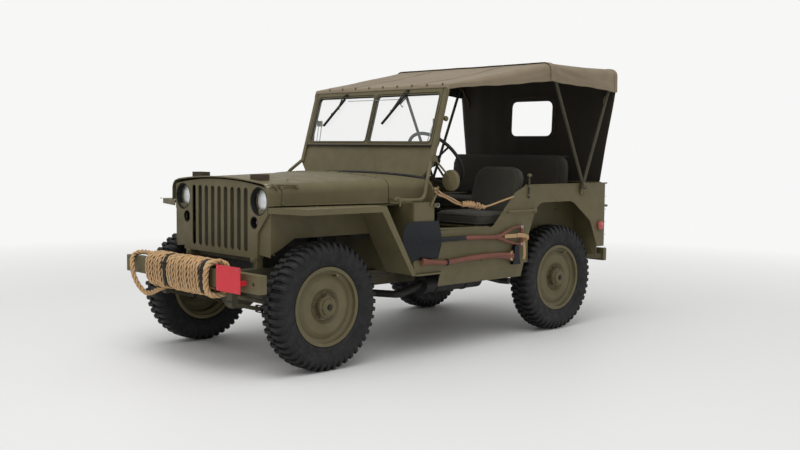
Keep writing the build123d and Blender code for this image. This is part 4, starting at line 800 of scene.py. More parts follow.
def round_bumper(share, x_front, x_back, stand, hang):
    """A place on one turn. Share 0 is over the bumper, a quarter ahead of it and a half under it."""
    low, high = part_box("front_bumper")
    front, back = low.y - stand, high.y + stand * 0.9
    under, over = low.z - hang, high.z + stand
    s, c = math.sin(2 * math.pi * share), math.cos(2 * math.pi * share)
    square = 0.62
    y = (front + back) / 2 - (back - front) / 2 * math.copysign(abs(s) ** square, s)
    z = (under + over) / 2 + (over - under) / 2 * math.copysign(abs(c) ** square, c)
    behind = (1 - s) / 2
    return Vector((x_front + (x_back - x_front) * behind, y, z))


def pinch(x):
    """How far the two straps draw the turns in at a place, from 0 to 1."""
    return max(math.exp(-(((x - strap) / 0.03) ** 2)) for strap in STRAP_PLACES)


def coil_layer(start, end, stand, hang, slant, shake):
    """The turns of one layer, from one end of the coil to the other."""
    turns = sizes().rope_turns
    points = []
    for i in range(turns * TURN_POINTS):
        share = i / TURN_POINTS
        along = (share + 0.5) / turns
        where = start + (end - start) * min(1, along)
        x_front = ROPE_ENDS[0] + (ROPE_ENDS[1] - ROPE_ENDS[0]) * where
        x_back = ROPE_BACK_ENDS[0] + (ROPE_BACK_ENDS[1] - ROPE_BACK_ENDS[0]) * where
        turn = int(share)
        shift = math.sin(turn * 2.4 + slant * 90) * shake
        lean = slant * math.cos(2 * math.pi * share)
        tight = pinch(x_front)
        swell = 1 + 0.05 * math.sin(turn * 1.7) - 0.2 * tight
        droop = hang * (1 + 0.08 * math.sin(turn * 3.1) - 0.25 * tight)
        point = round_bumper(share, x_front + shift, x_back + shift, stand * swell, droop)
        points.append(point + X * lean)
    return points


def rope_route():
    """The rope's whole line: hidden layer, the slack end turns, the layer over it, then the hanging loop."""
    thick = sizes().rope
    low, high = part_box("front_bumper")
    start = Vector((ROPE_BACK_ENDS[0] + 0.01, high.y + thick * 0.6, low.z + 0.02))
    points = [start]
    points += coil_layer(0, 1, thick * 0.52, thick * 0.62, 0.004, 0.0012)
    for x_front, x_back in END_TURNS:
        for k in range(TURN_POINTS):
            points.append(round_bumper(k / TURN_POINTS, x_front, x_back, thick * 1.4, thick * 1.85))
    points += coil_layer(1, 0, thick * 1.3, thick * 1.68, -0.016, 0.0025)
    points += [Vector(p) for p in ROPE_LOOP + ROPE_TAIL]
    return points


def followed(points):
    """The smooth line of a route, read from its NURBS spline."""
    data = bpy.data.curves.new("route", "CURVE")
    data.dimensions = "3D"
    spline = data.splines.new("NURBS")
    spline.points.add(len(points) - 1)
    for knot, point in zip(spline.points, points):
        knot.co = (*point, 1)
    spline.order_u = 3
    spline.use_endpoint_u = True
    spline.resolution_u = 5
    route = bpy.data.objects.new("route", data)
    mesh = bpy.data.meshes.new_from_object(route)
    line = [v.co.copy() for v in mesh.vertices]
    bpy.data.meshes.remove(mesh)
    bpy.data.curves.remove(data)
    return line


STRAND_LOBE = 0.56
"""How far the strands' crests stand from the rope's middle, as a share of its thickness."""


def lay_strands(maker, line, diameter, lay, finish):
    """Three strands twisted round a line, as one lobed skin."""
    lobe = diameter * STRAND_LOBE
    rings = []
    run = 0.0
    for i, (side, up) in enumerate(spun_frames(line)):
        run += (line[i] - line[i - 1]).length if i else 0
        twist = 2 * math.pi * run / lay
        ring = []
        for a in round_turn(18):
            r = lobe * (0.62 + 0.38 * abs(math.cos(1.5 * a)) ** 0.7)
            ring.append(line[i] + spoke(a + twist, side, up) * r)
        rings.append(ring)
    maker.rings(rings, finish)


def rope_strap(place):
    """A black strap pulled tight round the coil, with its buckle in front."""
    maker = Maker("leather")
    thick = sizes().rope
    line = [round_bumper(k / 40, place, place + 0.004, thick * 1.58, thick * 1.8) for k in range(40)]
    maker.strap(line, X, 32, 4, closed=True)
    front = round_bumper(0.22, place, place, thick * 1.58 + 0.003, thick * 1.8)
    corners = ((-0.026, -0.018), (0.026, -0.018), (0.026, 0.018), (-0.026, 0.018))
    maker.tube([front + X * a + Z * b for a, b in corners], 2.5, 8, "black_paint", closed=True)
    maker.tube([front - X * 0.026, front + X * 0.026], 2, 8, "black_paint")
    return maker


def make_rope():
    s = sizes()
    line = followed(rope_route())
    maker = Maker("rope")
    lay_strands(maker, line, s.rope, s.rope_lay, "rope")
    rope = piece("tow_rope", maker, replaces=("rope_coil", "rope_loop"), sharp=80)
    whole = sum((b - a).length for a, b in zip(line, line[1:]))
    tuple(line[0])
    for index, place in enumerate(STRAP_PLACES):
        piece(f"rope_strap_{index + 1}", rope_strap(place))


# ---- tyres --------------------------------------------------------------------------------------
TYRE_OUTLINE = (
    # out from the middle, radius: millimetres
    (0, 342), (32, 341.5), (58, 339), (68, 332), (75, 320), (78, 309), (78.4, 305), (79.6, 303), (79.6, 299),
    (78.8, 297), (79, 286), (77, 266), (73, 250), (70.5, 247), (71.5, 244), (69, 239), (63, 229), (57, 223.2),
    (54.5, 222.6), (54.5, 209),
)
LUG_TIP, LUG_ROOT = 9.8, 12.4
"""Half the width of a tread bar at its crest and at its foot, in millimetres."""
LUG_STATIONS = (
    # out from the middle, crest radius, foot radius, share of full width
    (2.5, 356.4, 336, 1), (5, 357, 336, 1), (50, 357, 336, 1), (58, 356, 333, 1), (66, 350.5, 325, 0.98),
    (73, 340, 316, 0.95), (77.6, 327, 306, 0.9), (79.4, 318, 304, 0.84), (79.6, 315, 304, 0.8),
)


def tyre_mesh():
    """A bar-tread tyre about the X axis, with two staggered rows of bars that run over its shoulders."""
    s = sizes()
    maker = Maker("rubber")
    half = [(mm(a), mm(r)) for a, r in TYRE_OUTLINE]
    outline = half + [(-a, r) for a, r in reversed(half[1:])]
    rings = []
    for a in round_turn(96):
        out = spoke(a, Y, Z)
        rings.append([X * along + out * r for along, r in outline])
    maker.rings(rings, closed=True)
    pitch = 2 * math.pi / s.lugs
    soft = mm(2.2)
    for side in (LEFT, RIGHT):
        for lug in range(s.lugs):
            a = (lug + (0.5 if side == RIGHT else 0)) * pitch
            out = spoke(a, Y, Z)
            round_way = out.cross(X) * side
            rings = []
            for along, crest, foot, share in LUG_STATIONS:
                tip, root = mm(LUG_TIP) * share, mm(LUG_ROOT) * share
                crest, foot = mm(crest), mm(foot)
                if crest - foot > mm(12):
                    crest -= mm(16) - s.lug_depth
                profile = [(-root, foot), (-tip - soft / 2, crest - soft), (-tip + soft, crest)]
                profile += [(tip - soft, crest), (tip + soft / 2, crest - soft), (root, foot)]
                drop = mm(0.5) * (1 if crest > mm(350) else 0)
                place = X * side * mm(along)
                rings.append([place + round_way * t + out * (r - drop * abs(t) / tip) for t, r in profile])
            maker.rings(rings)
    mesh = bpy.data.meshes.new("bar_tread_tyre")
    mesh.from_pydata(maker.points, [], maker.faces)
    mesh.materials.append(FINISHES["rubber"])
    mesh.shade_smooth()
    mesh.set_sharp_from_angle(angle=math.radians(38))
    return mesh


def make_tyres():
    mesh = tyre_mesh()
    for name in WHEEL_BODIES:
        tyre = show(bpy.data.objects.new(f"road_tyre_{name}", mesh))
        tyre.matrix_world = Matrix.Translation(middle(f"tyre_{name}"))
        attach(tyre, f"wheel_{name}")
        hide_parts(f"tyre_{name}")
    spare = show(bpy.data.objects.new("road_tyre_spare", mesh))
    spare.matrix_world = Matrix.Translation(middle("spare_tyre")) @ Matrix.Rotation(math.pi / 2, 4, "Z")
    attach(spare, "chassis")
    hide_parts("spare_tyre")


# ---- canvas -------------------------------------------------------------------------------------
ROOF_STATIONS = (
    # place along the car, half width, top, lower edge, corner radius: millimetres
    (-53, 645, 1621, 1592, 20),
    (830, 744, 1799, 1676, 58),
    (1553, 746, 1797, 1637, 52),
)
SCREEN_LAP = 24
"""How far the top turns down over the windscreen's front."""
FOLDS = (
    # side, from and to as (place along the car, height above the lower edge), width, rise: millimetres
    (LEFT, (838, 112), (1545, 18), 20, 6), (LEFT, (842, 88), (1400, 30), 14, -4),
    (LEFT, (838, 60), (1190, 12), 14, 4),
    (LEFT, (815, 100), (420, 62), 18, 4.5), (LEFT, (812, 70), (250, 20), 16, -3.5),
    (LEFT, (1540, 130), (1250, 150), 22, 4),
    (RIGHT, (838, 108), (1540, 26), 22, 5), (RIGHT, (845, 80), (1330, 22), 15, -4),
    (RIGHT, (815, 96), (380, 56), 18, 4.5),
    (RIGHT, (812, 64), (200, 22), 15, -3), (RIGHT, (1540, 120), (1210, 146), 24, 4),
)


def roof_section(y):
    """Half width, top, lower edge and corner radius of the top at a place along the car."""
    for first, second in zip(ROOF_STATIONS, ROOF_STATIONS[1:]):
        if y <= second[0]:
            break
    t = (y - first[0]) / (second[0] - first[0])
    return [a + (b - a) * t for a, b in zip(first[1:], second[1:])]


def roof_girth(y):
    """Half the cloth's length across the car: flat, corner and side."""
    half, top, low, r = roof_section(y)
    return half - r, r * math.pi / 2, top - r - low


def roof_relief(g, y, rise):
    """How far the cloth stands off its drawn shape, in millimetres: sag, ridges, folds and slack edges."""
    flat, corner, _ = roof_girth(y)
    main, rear = ROOF_STATIONS[1][0], ROOF_STATIONS[2][0]
    front = y < main
    t = (y - ROOF_STATIONS[0][0]) / (main - ROOF_STATIONS[0][0]) if front else (y - main) / (rear - main)
    t = min(1, max(0, t))
    top = max(0, 1 - (abs(g) / (flat + corner)) ** 4)
    relief = -(10 if front else 17) * math.sin(math.pi * t) * top
    relief += 3 * math.exp(-(((y - main) / 15) ** 2)) + 2.5 * math.exp(-(((y - rear + 16) / 15) ** 2))
    fan = math.sin(g / (70 + 55 * t) + 0.8 * math.sin(y / 310)) * math.sin(math.pi * t) ** 2
    relief += fan * (2.6 if front else 2.0)
    side = LEFT if g > 0 else RIGHT
    if abs(g) > flat:
        slack = max(0, 1 - rise / 90)
        ripple = 2.6 * math.sin(y / 47 + side) + 1.8 * math.sin(y / 23 + 2 * side)
        relief += slack * ripple * math.sin(math.pi * t)
    for which, start, end, width, height in FOLDS:
        if which == side and abs(g) > flat * 0.8:
            run = Vector(end) - Vector(start)
            here = Vector((y, rise)) - Vector(start)
            share = min(1, max(0, here.dot(run) / run.length_squared))
            away = (here - run * share).length / (width * (0.6 + share))
            relief += height * math.exp(-away * away) * (1 - share * 0.75) * min(1, share * 12)
    relief += 2.2 * noise.noise(Vector((g / 190, y / 230, side * 3)))
    return relief + 0.8 * noise.noise(Vector((g / 60, y / 75, 9)))


def roof_at(g, y):
    """A place on the top and the way it faces, g millimetres across the cloth from its middle."""
    half, top, low, r = roof_section(y)
    flat, corner, _ = roof_girth(y)
    way = 1 if g > 0 else -1
    over = abs(g) - flat
    if over <= 0:
        x, z, out = abs(g), top, Vector((0, 1))
    elif over <= corner:
        a = over / r
        x, z, out = flat + r * math.sin(a), top - r + r * math.cos(a), Vector((math.sin(a), math.cos(a)))
    else:
        x, z, out = half, top - r - (over - corner), Vector((1, 0))
    relief = roof_relief(g, y, z - low)
    edge = max(0, 1 - (z - low) / 40) * (2.5 * math.sin(y / 90) + 1.5 * math.sin(y / 31))
    facing = Vector((way * out.x, 0, out.y))
    return at(way * x, y, z + edge) + facing * mm(relief), facing


def roof_columns(y):
    """Places across the cloth, closer together round its corners."""
    flat, corner, side = roof_girth(y)
    half = [flat * k / 30 for k in range(31)]
    half += [flat + corner * k / 8 for k in range(1, 9)]
    half += [flat + corner + side * k / 12 for k in range(1, 13)]
    return [-g for g in reversed(half[1:])] + half


def cloth_sheet(name, rows, replaces, hole_ring=False):
    """A thin doubled sheet from rows of points: canvas outside, and inside the darker canvas that is painted
    shade.
    """
    points = [p for row in rows for p in row]
    wide = len(rows[0])
    faces = []
    for i in range(len(rows) - 1):
        for k in range(wide if hole_ring else wide - 1):
            n = (k + 1) % wide
            face = (i * wide + k, i * wide + n, (i + 1) * wide + n, (i + 1) * wide + k)
            faces.append(face[::-1] if hole_ring else face)
    mesh = bpy.data.meshes.new(name)
    mesh.from_pydata(points, [], faces)
    for finish in ("canvas", "canvas_inside_painted_shade"):
        mesh.materials.append(FINISHES[finish])
    mesh.shade_smooth()
    sheet = show(bpy.data.objects.new(name, mesh))
    lining = sheet.modifiers.new("thickness", "SOLIDIFY")
    lining.thickness = sizes().canvas
    lining.offset = -1
    lining.material_offset = 1
    lining.material_offset_rim = 0
    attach(sheet, "chassis")
    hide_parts(replaces)
    return sheet


TAPE = 1.6
"""Thickness of the sewn strips."""
SEAM_EDGE = 4
"""From a strip's edge in to its stitches."""


def tape(maker, line, out, width, finish="canvas"):
    """A sewn strip laid on cloth, with a row of stitches along each edge."""
    mid = [p + n * mm(TAPE) * 0.5 for p, n in zip(line, out)]
    side = []
    for i, n in enumerate(out):
        along = line[min(i + 1, len(line) - 1)] - line[max(i - 1, 0)]
        side.append(n.cross(along.normalized()))
    maker.strap(mid, side, width, TAPE, finish)
    for way in (1, -1):
        reach = way * mm(width / 2 - SEAM_EDGE)
        maker.stitches([p + s * reach + n * mm(TAPE) for p, s, n in zip(line, side, out)], out)


def roof_line(fixed, start, end, steps, lengthways):
    """(points, facings) along the top: lengthways at one place across, or across at one place along."""
    spots = [start + (end - start) * k / steps for k in range(steps + 1)]
    found = [roof_at(fixed, s) if lengthways else roof_at(s, fixed) for s in spots]
    return [p for p, _ in found], [n for _, n in found]


def make_roof():
    front, bow, rear = (station[0] for station in ROOF_STATIONS)
    ys = [front + (bow - front) * k / 34 for k in range(35)]
    ys += [bow + (rear - bow) * k / 30 for k in range(1, 31)]
    rows = [[roof_at(g, y)[0] for g in roof_columns(y)] for y in ys]
    lap = [[p - SCREEN_UP * mm(SCREEN_LAP * share) for p in rows[0]] for share in (1, 0.66, 0.33)]
    roof = cloth_sheet("canvas_top", lap + rows, "canvas_roof")
    maker = Maker("canvas")
    for across in (-330, 330):
        tape(maker, *roof_line(across, -46, rear - 4, 70, True), width=18)
    for y, width in ((bow, 50), (rear - 18, 34)):
        girth = sum(roof_girth(y)) - 3
        tape(maker, *roof_line(y, -girth, girth, 110, False), width=width)
    for side in (LEFT, RIGHT):
        hem = []
        for k in range(91):
            y = -46 + (rear + 40) * k / 90
            hem.append(roof_at(side * (sum(roof_girth(y)) - 13), y))
        tape(maker, [p for p, _ in hem], [n for _, n in hem], width=24)
    hems = piece("canvas_top_seams", maker)
    make_roof_studs()


STUD_PITCH = 134.8


def make_roof_studs():
    """Turn-button studs that hold the top to the windscreen, across its front."""
    maker = Maker("brass")
    for k in range(-4, 5):
        place = on_screen(54 + STUD_PITCH * k, 394, 15.5)
        if abs(place.x) < 0.64:
            maker.turned([(0, 8.5), (2, 8.5), (2.6, 6), (2.6, 0)], place, SCREEN_OUT, 14, "olive")
            maker.rivet(place + SCREEN_OUT * 0.002, SCREEN_OUT, 4.5, "dark_iron")
    piece("canvas_top_studs", maker)


CURTAIN_OUTLINE = (
    # across, height: millimetres, from the middle of the top round the left side
    (0, 1792), (690, 1792), (735, 1775), (745, 1738), (745, 1642), (640, 985), (0, 985),
)
WINDOW = (195, 1330, 1590, 45)


def curtain_at(x, z, ruffle=1.0):
    """A place on the rear curtain, leaning forward to the tub, with soft upright folds."""
    share = (z - 985) / (1792 - 985)
    y = 1519 + 28 * share
    swing = math.sin(x / 62 + 0.5 * math.sin(z / 170)) * 2.4 + 1.6 * math.sin(x / 27 + z / 300)
    swing += 4 * noise.noise(Vector((x / 170, z / 210, 4)))
    swing -= 7 * math.sin(math.pi * share) * (1 - (x / 760) ** 2)
    hold = min(1, (1 - share) * 9, share * 9)
    return at(x, y + swing * ruffle * max(0.12, hold), z)


def along_outline(points, count):
    """Count evenly spaced points round a closed outline."""
    loop = list(points) + [points[0]]
    runs = [(Vector(b) - Vector(a)).length for a, b in zip(loop, loop[1:])]
    step = sum(runs) / count
    found = []
    left = 0.0
    for run, a, b in zip(runs, loop, loop[1:]):
        while left < run and len(found) < count:
            found.append(Vector(a).lerp(Vector(b), left / run))
            left += step
        left -= run
    return found


def window_outline(half, low, high, corner, steps=6):
    """A rounded oblong from its top middle, clockwise seen from behind the car."""
    points = [(0, high)]
    corners = ((half - corner, high - corner, 90), (half - corner, low + corner, 0))
    corners += ((-half + corner, low + corner, -90), (-half + corner, high - corner, -180))
    for x, z, turn in corners:
        for k in range(steps + 1):
            a = math.radians(turn - 90 * k / steps)
            points.append((x + corner * math.cos(a), z + corner * math.sin(a)))
    return points


CURTAIN_TIE = ((728, 1524, 1712), (700, 1533, 1655), (660, 1535, 1602), (652, 1533, 1560))


def make_curtain():
    count = 132
    outer_points = list(CURTAIN_OUTLINE) + [(-x, z) for x, z in reversed(CURTAIN_OUTLINE[1:-1])]
    outer = by_angle(along_outline(outer_points, 900), count, WINDOW)
    inner = by_angle(along_outline(window_outline(*WINDOW), 900), count, WINDOW)
    rows = []
    for step in range(25):
        t = (step / 24) ** 1.15
        rows.append([curtain_at(*(i.lerp(o, t))) for i, o in zip(inner, outer)])
    sheet = cloth_sheet("canvas_curtain", rows, "canvas_rear", hole_ring=True)
    maker = Maker("canvas")
    half, low, high, corner = WINDOW
    ring = along_outline(window_outline(half + 18, low - 18, high + 18, corner + 16), 90)
    line = [curtain_at(*p) + Y * 0.001 for p in ring + ring[:1]]
    tape(maker, line, [Y] * len(line), width=32)
    inside = [curtain_at(*p) - Y * (sizes().canvas + 0.0005) for p in ring + ring[:1]]
    # the inside window tape takes the inside canvas, darkened as painted shade
    tape(maker, inside, [-Y] * len(inside), width=32, finish="canvas_inside_painted_shade")
    hem = [curtain_at(x, 1001) + Y * 0.001 for x in range(-636, 640, 12)]
    tape(maker, hem, [Y] * len(hem), width=28)
    for side in (LEFT, RIGHT):
        slant = zip(spread(640, 744, 40), spread(1000, 1640, 40))
        edge = [curtain_at(side * (x - 14), z) + Y * 0.001 for x, z in slant]
        tape(maker, edge, [Y] * len(edge), width=24)
        seam = [curtain_at(side * 330, z) + Y * 0.001 for z in range(1004, 1780, 14)]
        tape(maker, seam, [Y] * len(seam), width=18)
        hold = [at(side * x, y, z) for x, y, z in CURTAIN_TIE]
        maker.strap(eased(hold, 5), Y, 18, 2.5, "webbing")
    seams = piece("canvas_curtain_seams", maker)
    loops = Maker("webbing")
    for x in (-560, -400, -200, 0, 200, 400, 560):
        top, foot = curtain_at(x, 1008) + Y * 0.003, at(x, 1522, 958)
        loops.strap([top, top.lerp(foot, 0.5) + Y * 0.003, foot], X, 24, 2.6)
        loops.strap([foot + X * a for a in (-0.019, 0.019)], Z, 14, 4, "olive")
        staple = ((-17, 1), (-14, 8), (14, 8), (17, 1))
        loops.tube([foot + by(x, y, 0) for x, y in staple], 2.2, 8, "olive")
    piece("curtain_straps", loops)


def spread(start, end, count):
    return [start + (end - start) * k / (count - 1) for k in range(count)]


def by_angle(points, count, window):
    """The points of an outline that lie in count even directions from the window's middle."""
    centre = Vector((0, (window[1] + window[2]) / 2))
    half = Vector((window[0], (window[2] - window[1]) / 2))

    def heading(p):
        d = p - centre
        return math.atan2(d.x / half.x, d.y / half.y) % (2 * math.pi)

    ordered = sorted(points, key=heading)
    angles = [heading(p) for p in ordered]
    found = []
    for wanted in round_turn(count):
        away = [abs((angle - wanted + math.pi) % (2 * math.pi) - math.pi) for angle in angles]
        found.append(ordered[away.index(min(away))])
    return found


# ---- cushions -----------------------------------------------------------------------------------
SEAT_FILL = 0.55
CUSHIONS = (
    # name, foot of its front face as (across, along, up), lean, width, length, thickness,
    # corner radii, cap, fill
    ("driver_seat_pad", (455, 534, 747), 90, 404, 318, 70, (40, 60), 9, SEAT_FILL),
    ("driver_seat_back", (455, 535, 788), 17.5, 410, 350, 50, (24, 100), 8, SEAT_FILL),
    ("rear_bench_pad", (0, 1198, 802), 90, 960, 364, 70, (36, 40), 9, 0.6),
    ("rear_bench_back", (0, 1222, 898), 4.2, 1104, 296, 46, (30, 90), 8, SEAT_FILL),
)
VOXEL = 0.010
PAD_SOFT = 12
"""How far a pad's edges are eased before it is puffed up."""
PIPING_INSET = 4
PANEL_INSET = 0.11
"""How far in from the edge the stitched panel lies, as a share of the way to the middle."""
SEAT_SPACING = 0.910


def rounded_outline(width, height, low_corner, high_corner, steps=6):
    """Corners of a pad as (right, up), its foot on up 0."""
    half = width / 2
    points = []
    turns = ((half, 0, low_corner, -90), (half, height, high_corner, 0))
    turns += ((-half, height, high_corner, 90), (-half, 0, low_corner, 180))
    for x, y, r, start in turns:
        cx, cy = x - math.copysign(r, x), y + (r if y == 0 else -r)
        for k in range(steps + 1):
            a = math.radians(start + 90 * k / steps)
            points.append((cx + r * math.cos(a), cy + r * math.sin(a)))
    return points


def evaluated(obj):
    """A plain copy of an object's mesh with its modifiers applied."""
    return bpy.data.meshes.new_from_object(obj.evaluated_get(bpy.context.evaluated_depsgraph_get()))


def settle(obj, modifier):
    mesh = evaluated(obj)
    old = obj.data
    obj.modifiers.remove(modifier)
    obj.data = mesh
    bpy.data.meshes.remove(old)


def puff(pad, cap):
    """Swells a closed pad like stuffed cloth. No point moves further than the cap."""
    rest = [v.co.copy() for v in pad.data.vertices]
    cloth = pad.modifiers.new("swell", "CLOTH")
    cloth.settings.quality = 5
    cloth.settings.mass = 0.3
    cloth.settings.use_pressure = True
    cloth.settings.uniform_pressure_force = 4
    cloth.settings.effector_weights.gravity = 0
    cloth.collision_settings.use_collision = False
    for step in range(1, 21):
        bpy.context.scene.frame_set(step)
    swollen = evaluated(pad)
    moved = [v.co.copy() for v in swollen.vertices]
    bpy.data.meshes.remove(swollen)
    pad.modifiers.remove(cloth)
    for vertex, start, end in zip(pad.data.vertices, rest, moved):
        way = end - start
        vertex.co = start + way * min(1, mm(cap) / max(way.length, 1e-9))
    bpy.context.scene.frame_set(1)


def cushion(name, foot, lean, width, length_up, thick, corners, cap, fill):
    """One stuffed pad, with piping round both faces and a stitched panel."""
    tilt = math.radians(lean)
    flat = lean == 90
    up = -Y if flat else Vector((0, math.sin(tilt), math.cos(tilt)))
    right = -X if flat else X
    out = right.cross(up)
    place = at(*foot)
    maker = Maker("seat_canvas")
    outline = rounded_outline(width, length_up, *corners)
    origin = place if flat else place - out * mm(thick)
    maker.cut_plate(outline, origin, right, up, thick, PAD_SOFT)
    mesh = bpy.data.meshes.new(name)
    mesh.from_pydata(maker.points, [], maker.faces)
    mesh.materials.append(FINISHES["seat_canvas"])
    pad = show(bpy.data.objects.new(name, mesh))
    skin = pad.modifiers.new("skin", "REMESH")
    skin.mode, skin.voxel_size, skin.use_smooth_shade = "VOXEL", VOXEL, True
    settle(pad, skin)
    puff(pad, cap)
    fine = pad.modifiers.new("fine", "SUBSURF")
    fine.levels = fine.render_levels = 1
    settle(pad, fine)
    pad.data.materials.clear()
    pad.data.materials.append(FINISHES["seat_canvas"])
    pad.data.shade_smooth()
    sew(name, pad, outline, (origin, right, up, out), thick)
    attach(pad, "chassis")
    return pad


def sew(name, pad, outline, axes, thick):
    """Piping where the faces meet the sides, and a stitched line inside the outer face."""
    origin, right, up, out = axes
    mesh = pad.data
    surface = BVHTree.FromPolygons([v.co for v in mesh.vertices], [tuple(p.vertices) for p in mesh.polygons])
    maker = Maker("piping")
    centre = sum((origin + right * mm(a) + up * mm(b) for a, b in outline), Vector()) / len(outline)
    for depth in (PIPING_INSET, thick - PIPING_INSET):
        line = []
        for a, b in outline:
            spot = origin + right * mm(a) + up * mm(b) + out * mm(depth)
            away = (spot - centre - out * mm(depth)).normalized()
            line.append(surface.find_nearest(spot + away * 0.01)[0])
        maker.tube(eased(line, 3, closed=True), 3.2, 8, closed=True)
    ring = []
    facing = []
    for a, b in along_outline(outline, 120):
        spot = origin + right * mm(a) + up * mm(b) + out * mm(thick)
        spot += (centre - spot) * PANEL_INSET
        found, normal, _, _ = surface.find_nearest(spot + out * 0.02)
        ring.append(found)
        facing.append(normal)
    maker.stitches(ring + ring[:1], facing + facing[:1])
    piece(f"{name}_sewing", maker)


def make_cushions():
    pads = {name: cushion(name, *shape) for name, *shape in CUSHIONS}
    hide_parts("seat_cushions")
    for name in ("driver_seat_pad", "driver_seat_back"):
        for source in (pads[name], bpy.data.objects[f"{name}_sewing"]):
            twin = show(bpy.data.objects.new(source.name.replace("driver", "passenger"), source.data.copy()))
            twin.data.transform(Matrix.Translation((-SEAT_SPACING, 0, 0)))
            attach(twin, "passenger_seat")
    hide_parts("passenger_cushions")


# ---- lamps --------------------------------------------------------------------------------------
def ring_piece(maker, outline, place, axis, steps, finish):
    """A round part with a hole through it: its outline is a closed loop of (along, radius) points."""
    side = axis.orthogonal().normalized()
    up = axis.cross(side)
    rings = []
    for a in round_turn(steps):
        rings.append([place + axis * mm(along) + spoke(a, side, up) * mm(r) for along, r in outline])
    maker.rings(rings, finish, closed=True)


def lamp_lens(maker, place, r, finish):
    """A domed pressed lens in a thin bezel, deep in its bucket."""
    dome = [(0, 0.5), (1.5, r * 0.35), (4, r * 0.6), (9, r * 0.85), (15, r), (20, r), (20, 0.5)]
    maker.turned(dome, place, Y, 40, finish)
    bezel = [(18, r + 0.5), (8, r - 1), (7, r + 3), (10, r + 6), (18, r + 6)]
    ring_piece(maker, bezel, place, Y, 40, "olive")


LAMP_FACE_Y = -1271
BUCKET = ((0, 75.2), (75, 75.2), (75, 0.5), (72, 0.5), (70, 72.5), (0, 73.5))
MARKER_TUBE = ((0, 32.2), (50, 32.2), (50, 0.5), (47, 0.5), (46, 29.5), (0, 30.2))


def make_lamps():
    maker = Maker("black_paint")
    for side in (LEFT, RIGHT):
        face = at(side * 388, LAMP_FACE_Y, 930)
        ring_piece(maker, BUCKET, face, Y, 48, "black_paint")
        lamp_lens(maker, face + Y * 0.026, 66.5, "headlamp_lens")
        for a in round_turn(3, 0.25):
            maker.rivet(face + Y * 0.033 + spoke(a, X, Z) * 0.0705, -Y, 3.5, "steel")
        marker = at(side * 345, LAMP_FACE_Y, 811)
        ring_piece(maker, MARKER_TUBE, marker, Y, 32, "black_paint")
        lamp_lens(maker, marker + Y * 0.018, 14.5, "marker_lens")
        maker.turned([(0, 9), (20, 14), (20, 0)], marker + Y * 0.026, Y, 20, "black_paint")
    piece("lamps", maker, replaces=("front_lamps",))


# ---- windscreen ---------------------------------------------------------------------------------
WIPERS = (
    # blade top and foot, arm from its pivot, spare hook beside it: (across, up) millimetres
    ((-299, 321), (-463, 137), ((-289, 350), (-318, 338), (-336, 270), (-392, 218)),
     ((-303, 318), (-350, 262), (-334, 250))),
    ((292, 338), (123, 145), ((300, 362), (276, 348), (232, 282), (196, 228)),
     ((306, 322), (258, 272), (286, 254))),
)


def rounded_pane(left, right, low, high, corner, out):
    points = []
    for x, up, start in ((right - corner, high - corner, 0), (left + corner, high - corner, 90),
                         (left + corner, low + corner, 180), (right - corner, low + corner, 270)):
        for k in range(6):
            a = math.radians(start + 18 * k)
            points.append(on_screen(x + corner * math.cos(a), up + corner * math.sin(a), out))
    return points


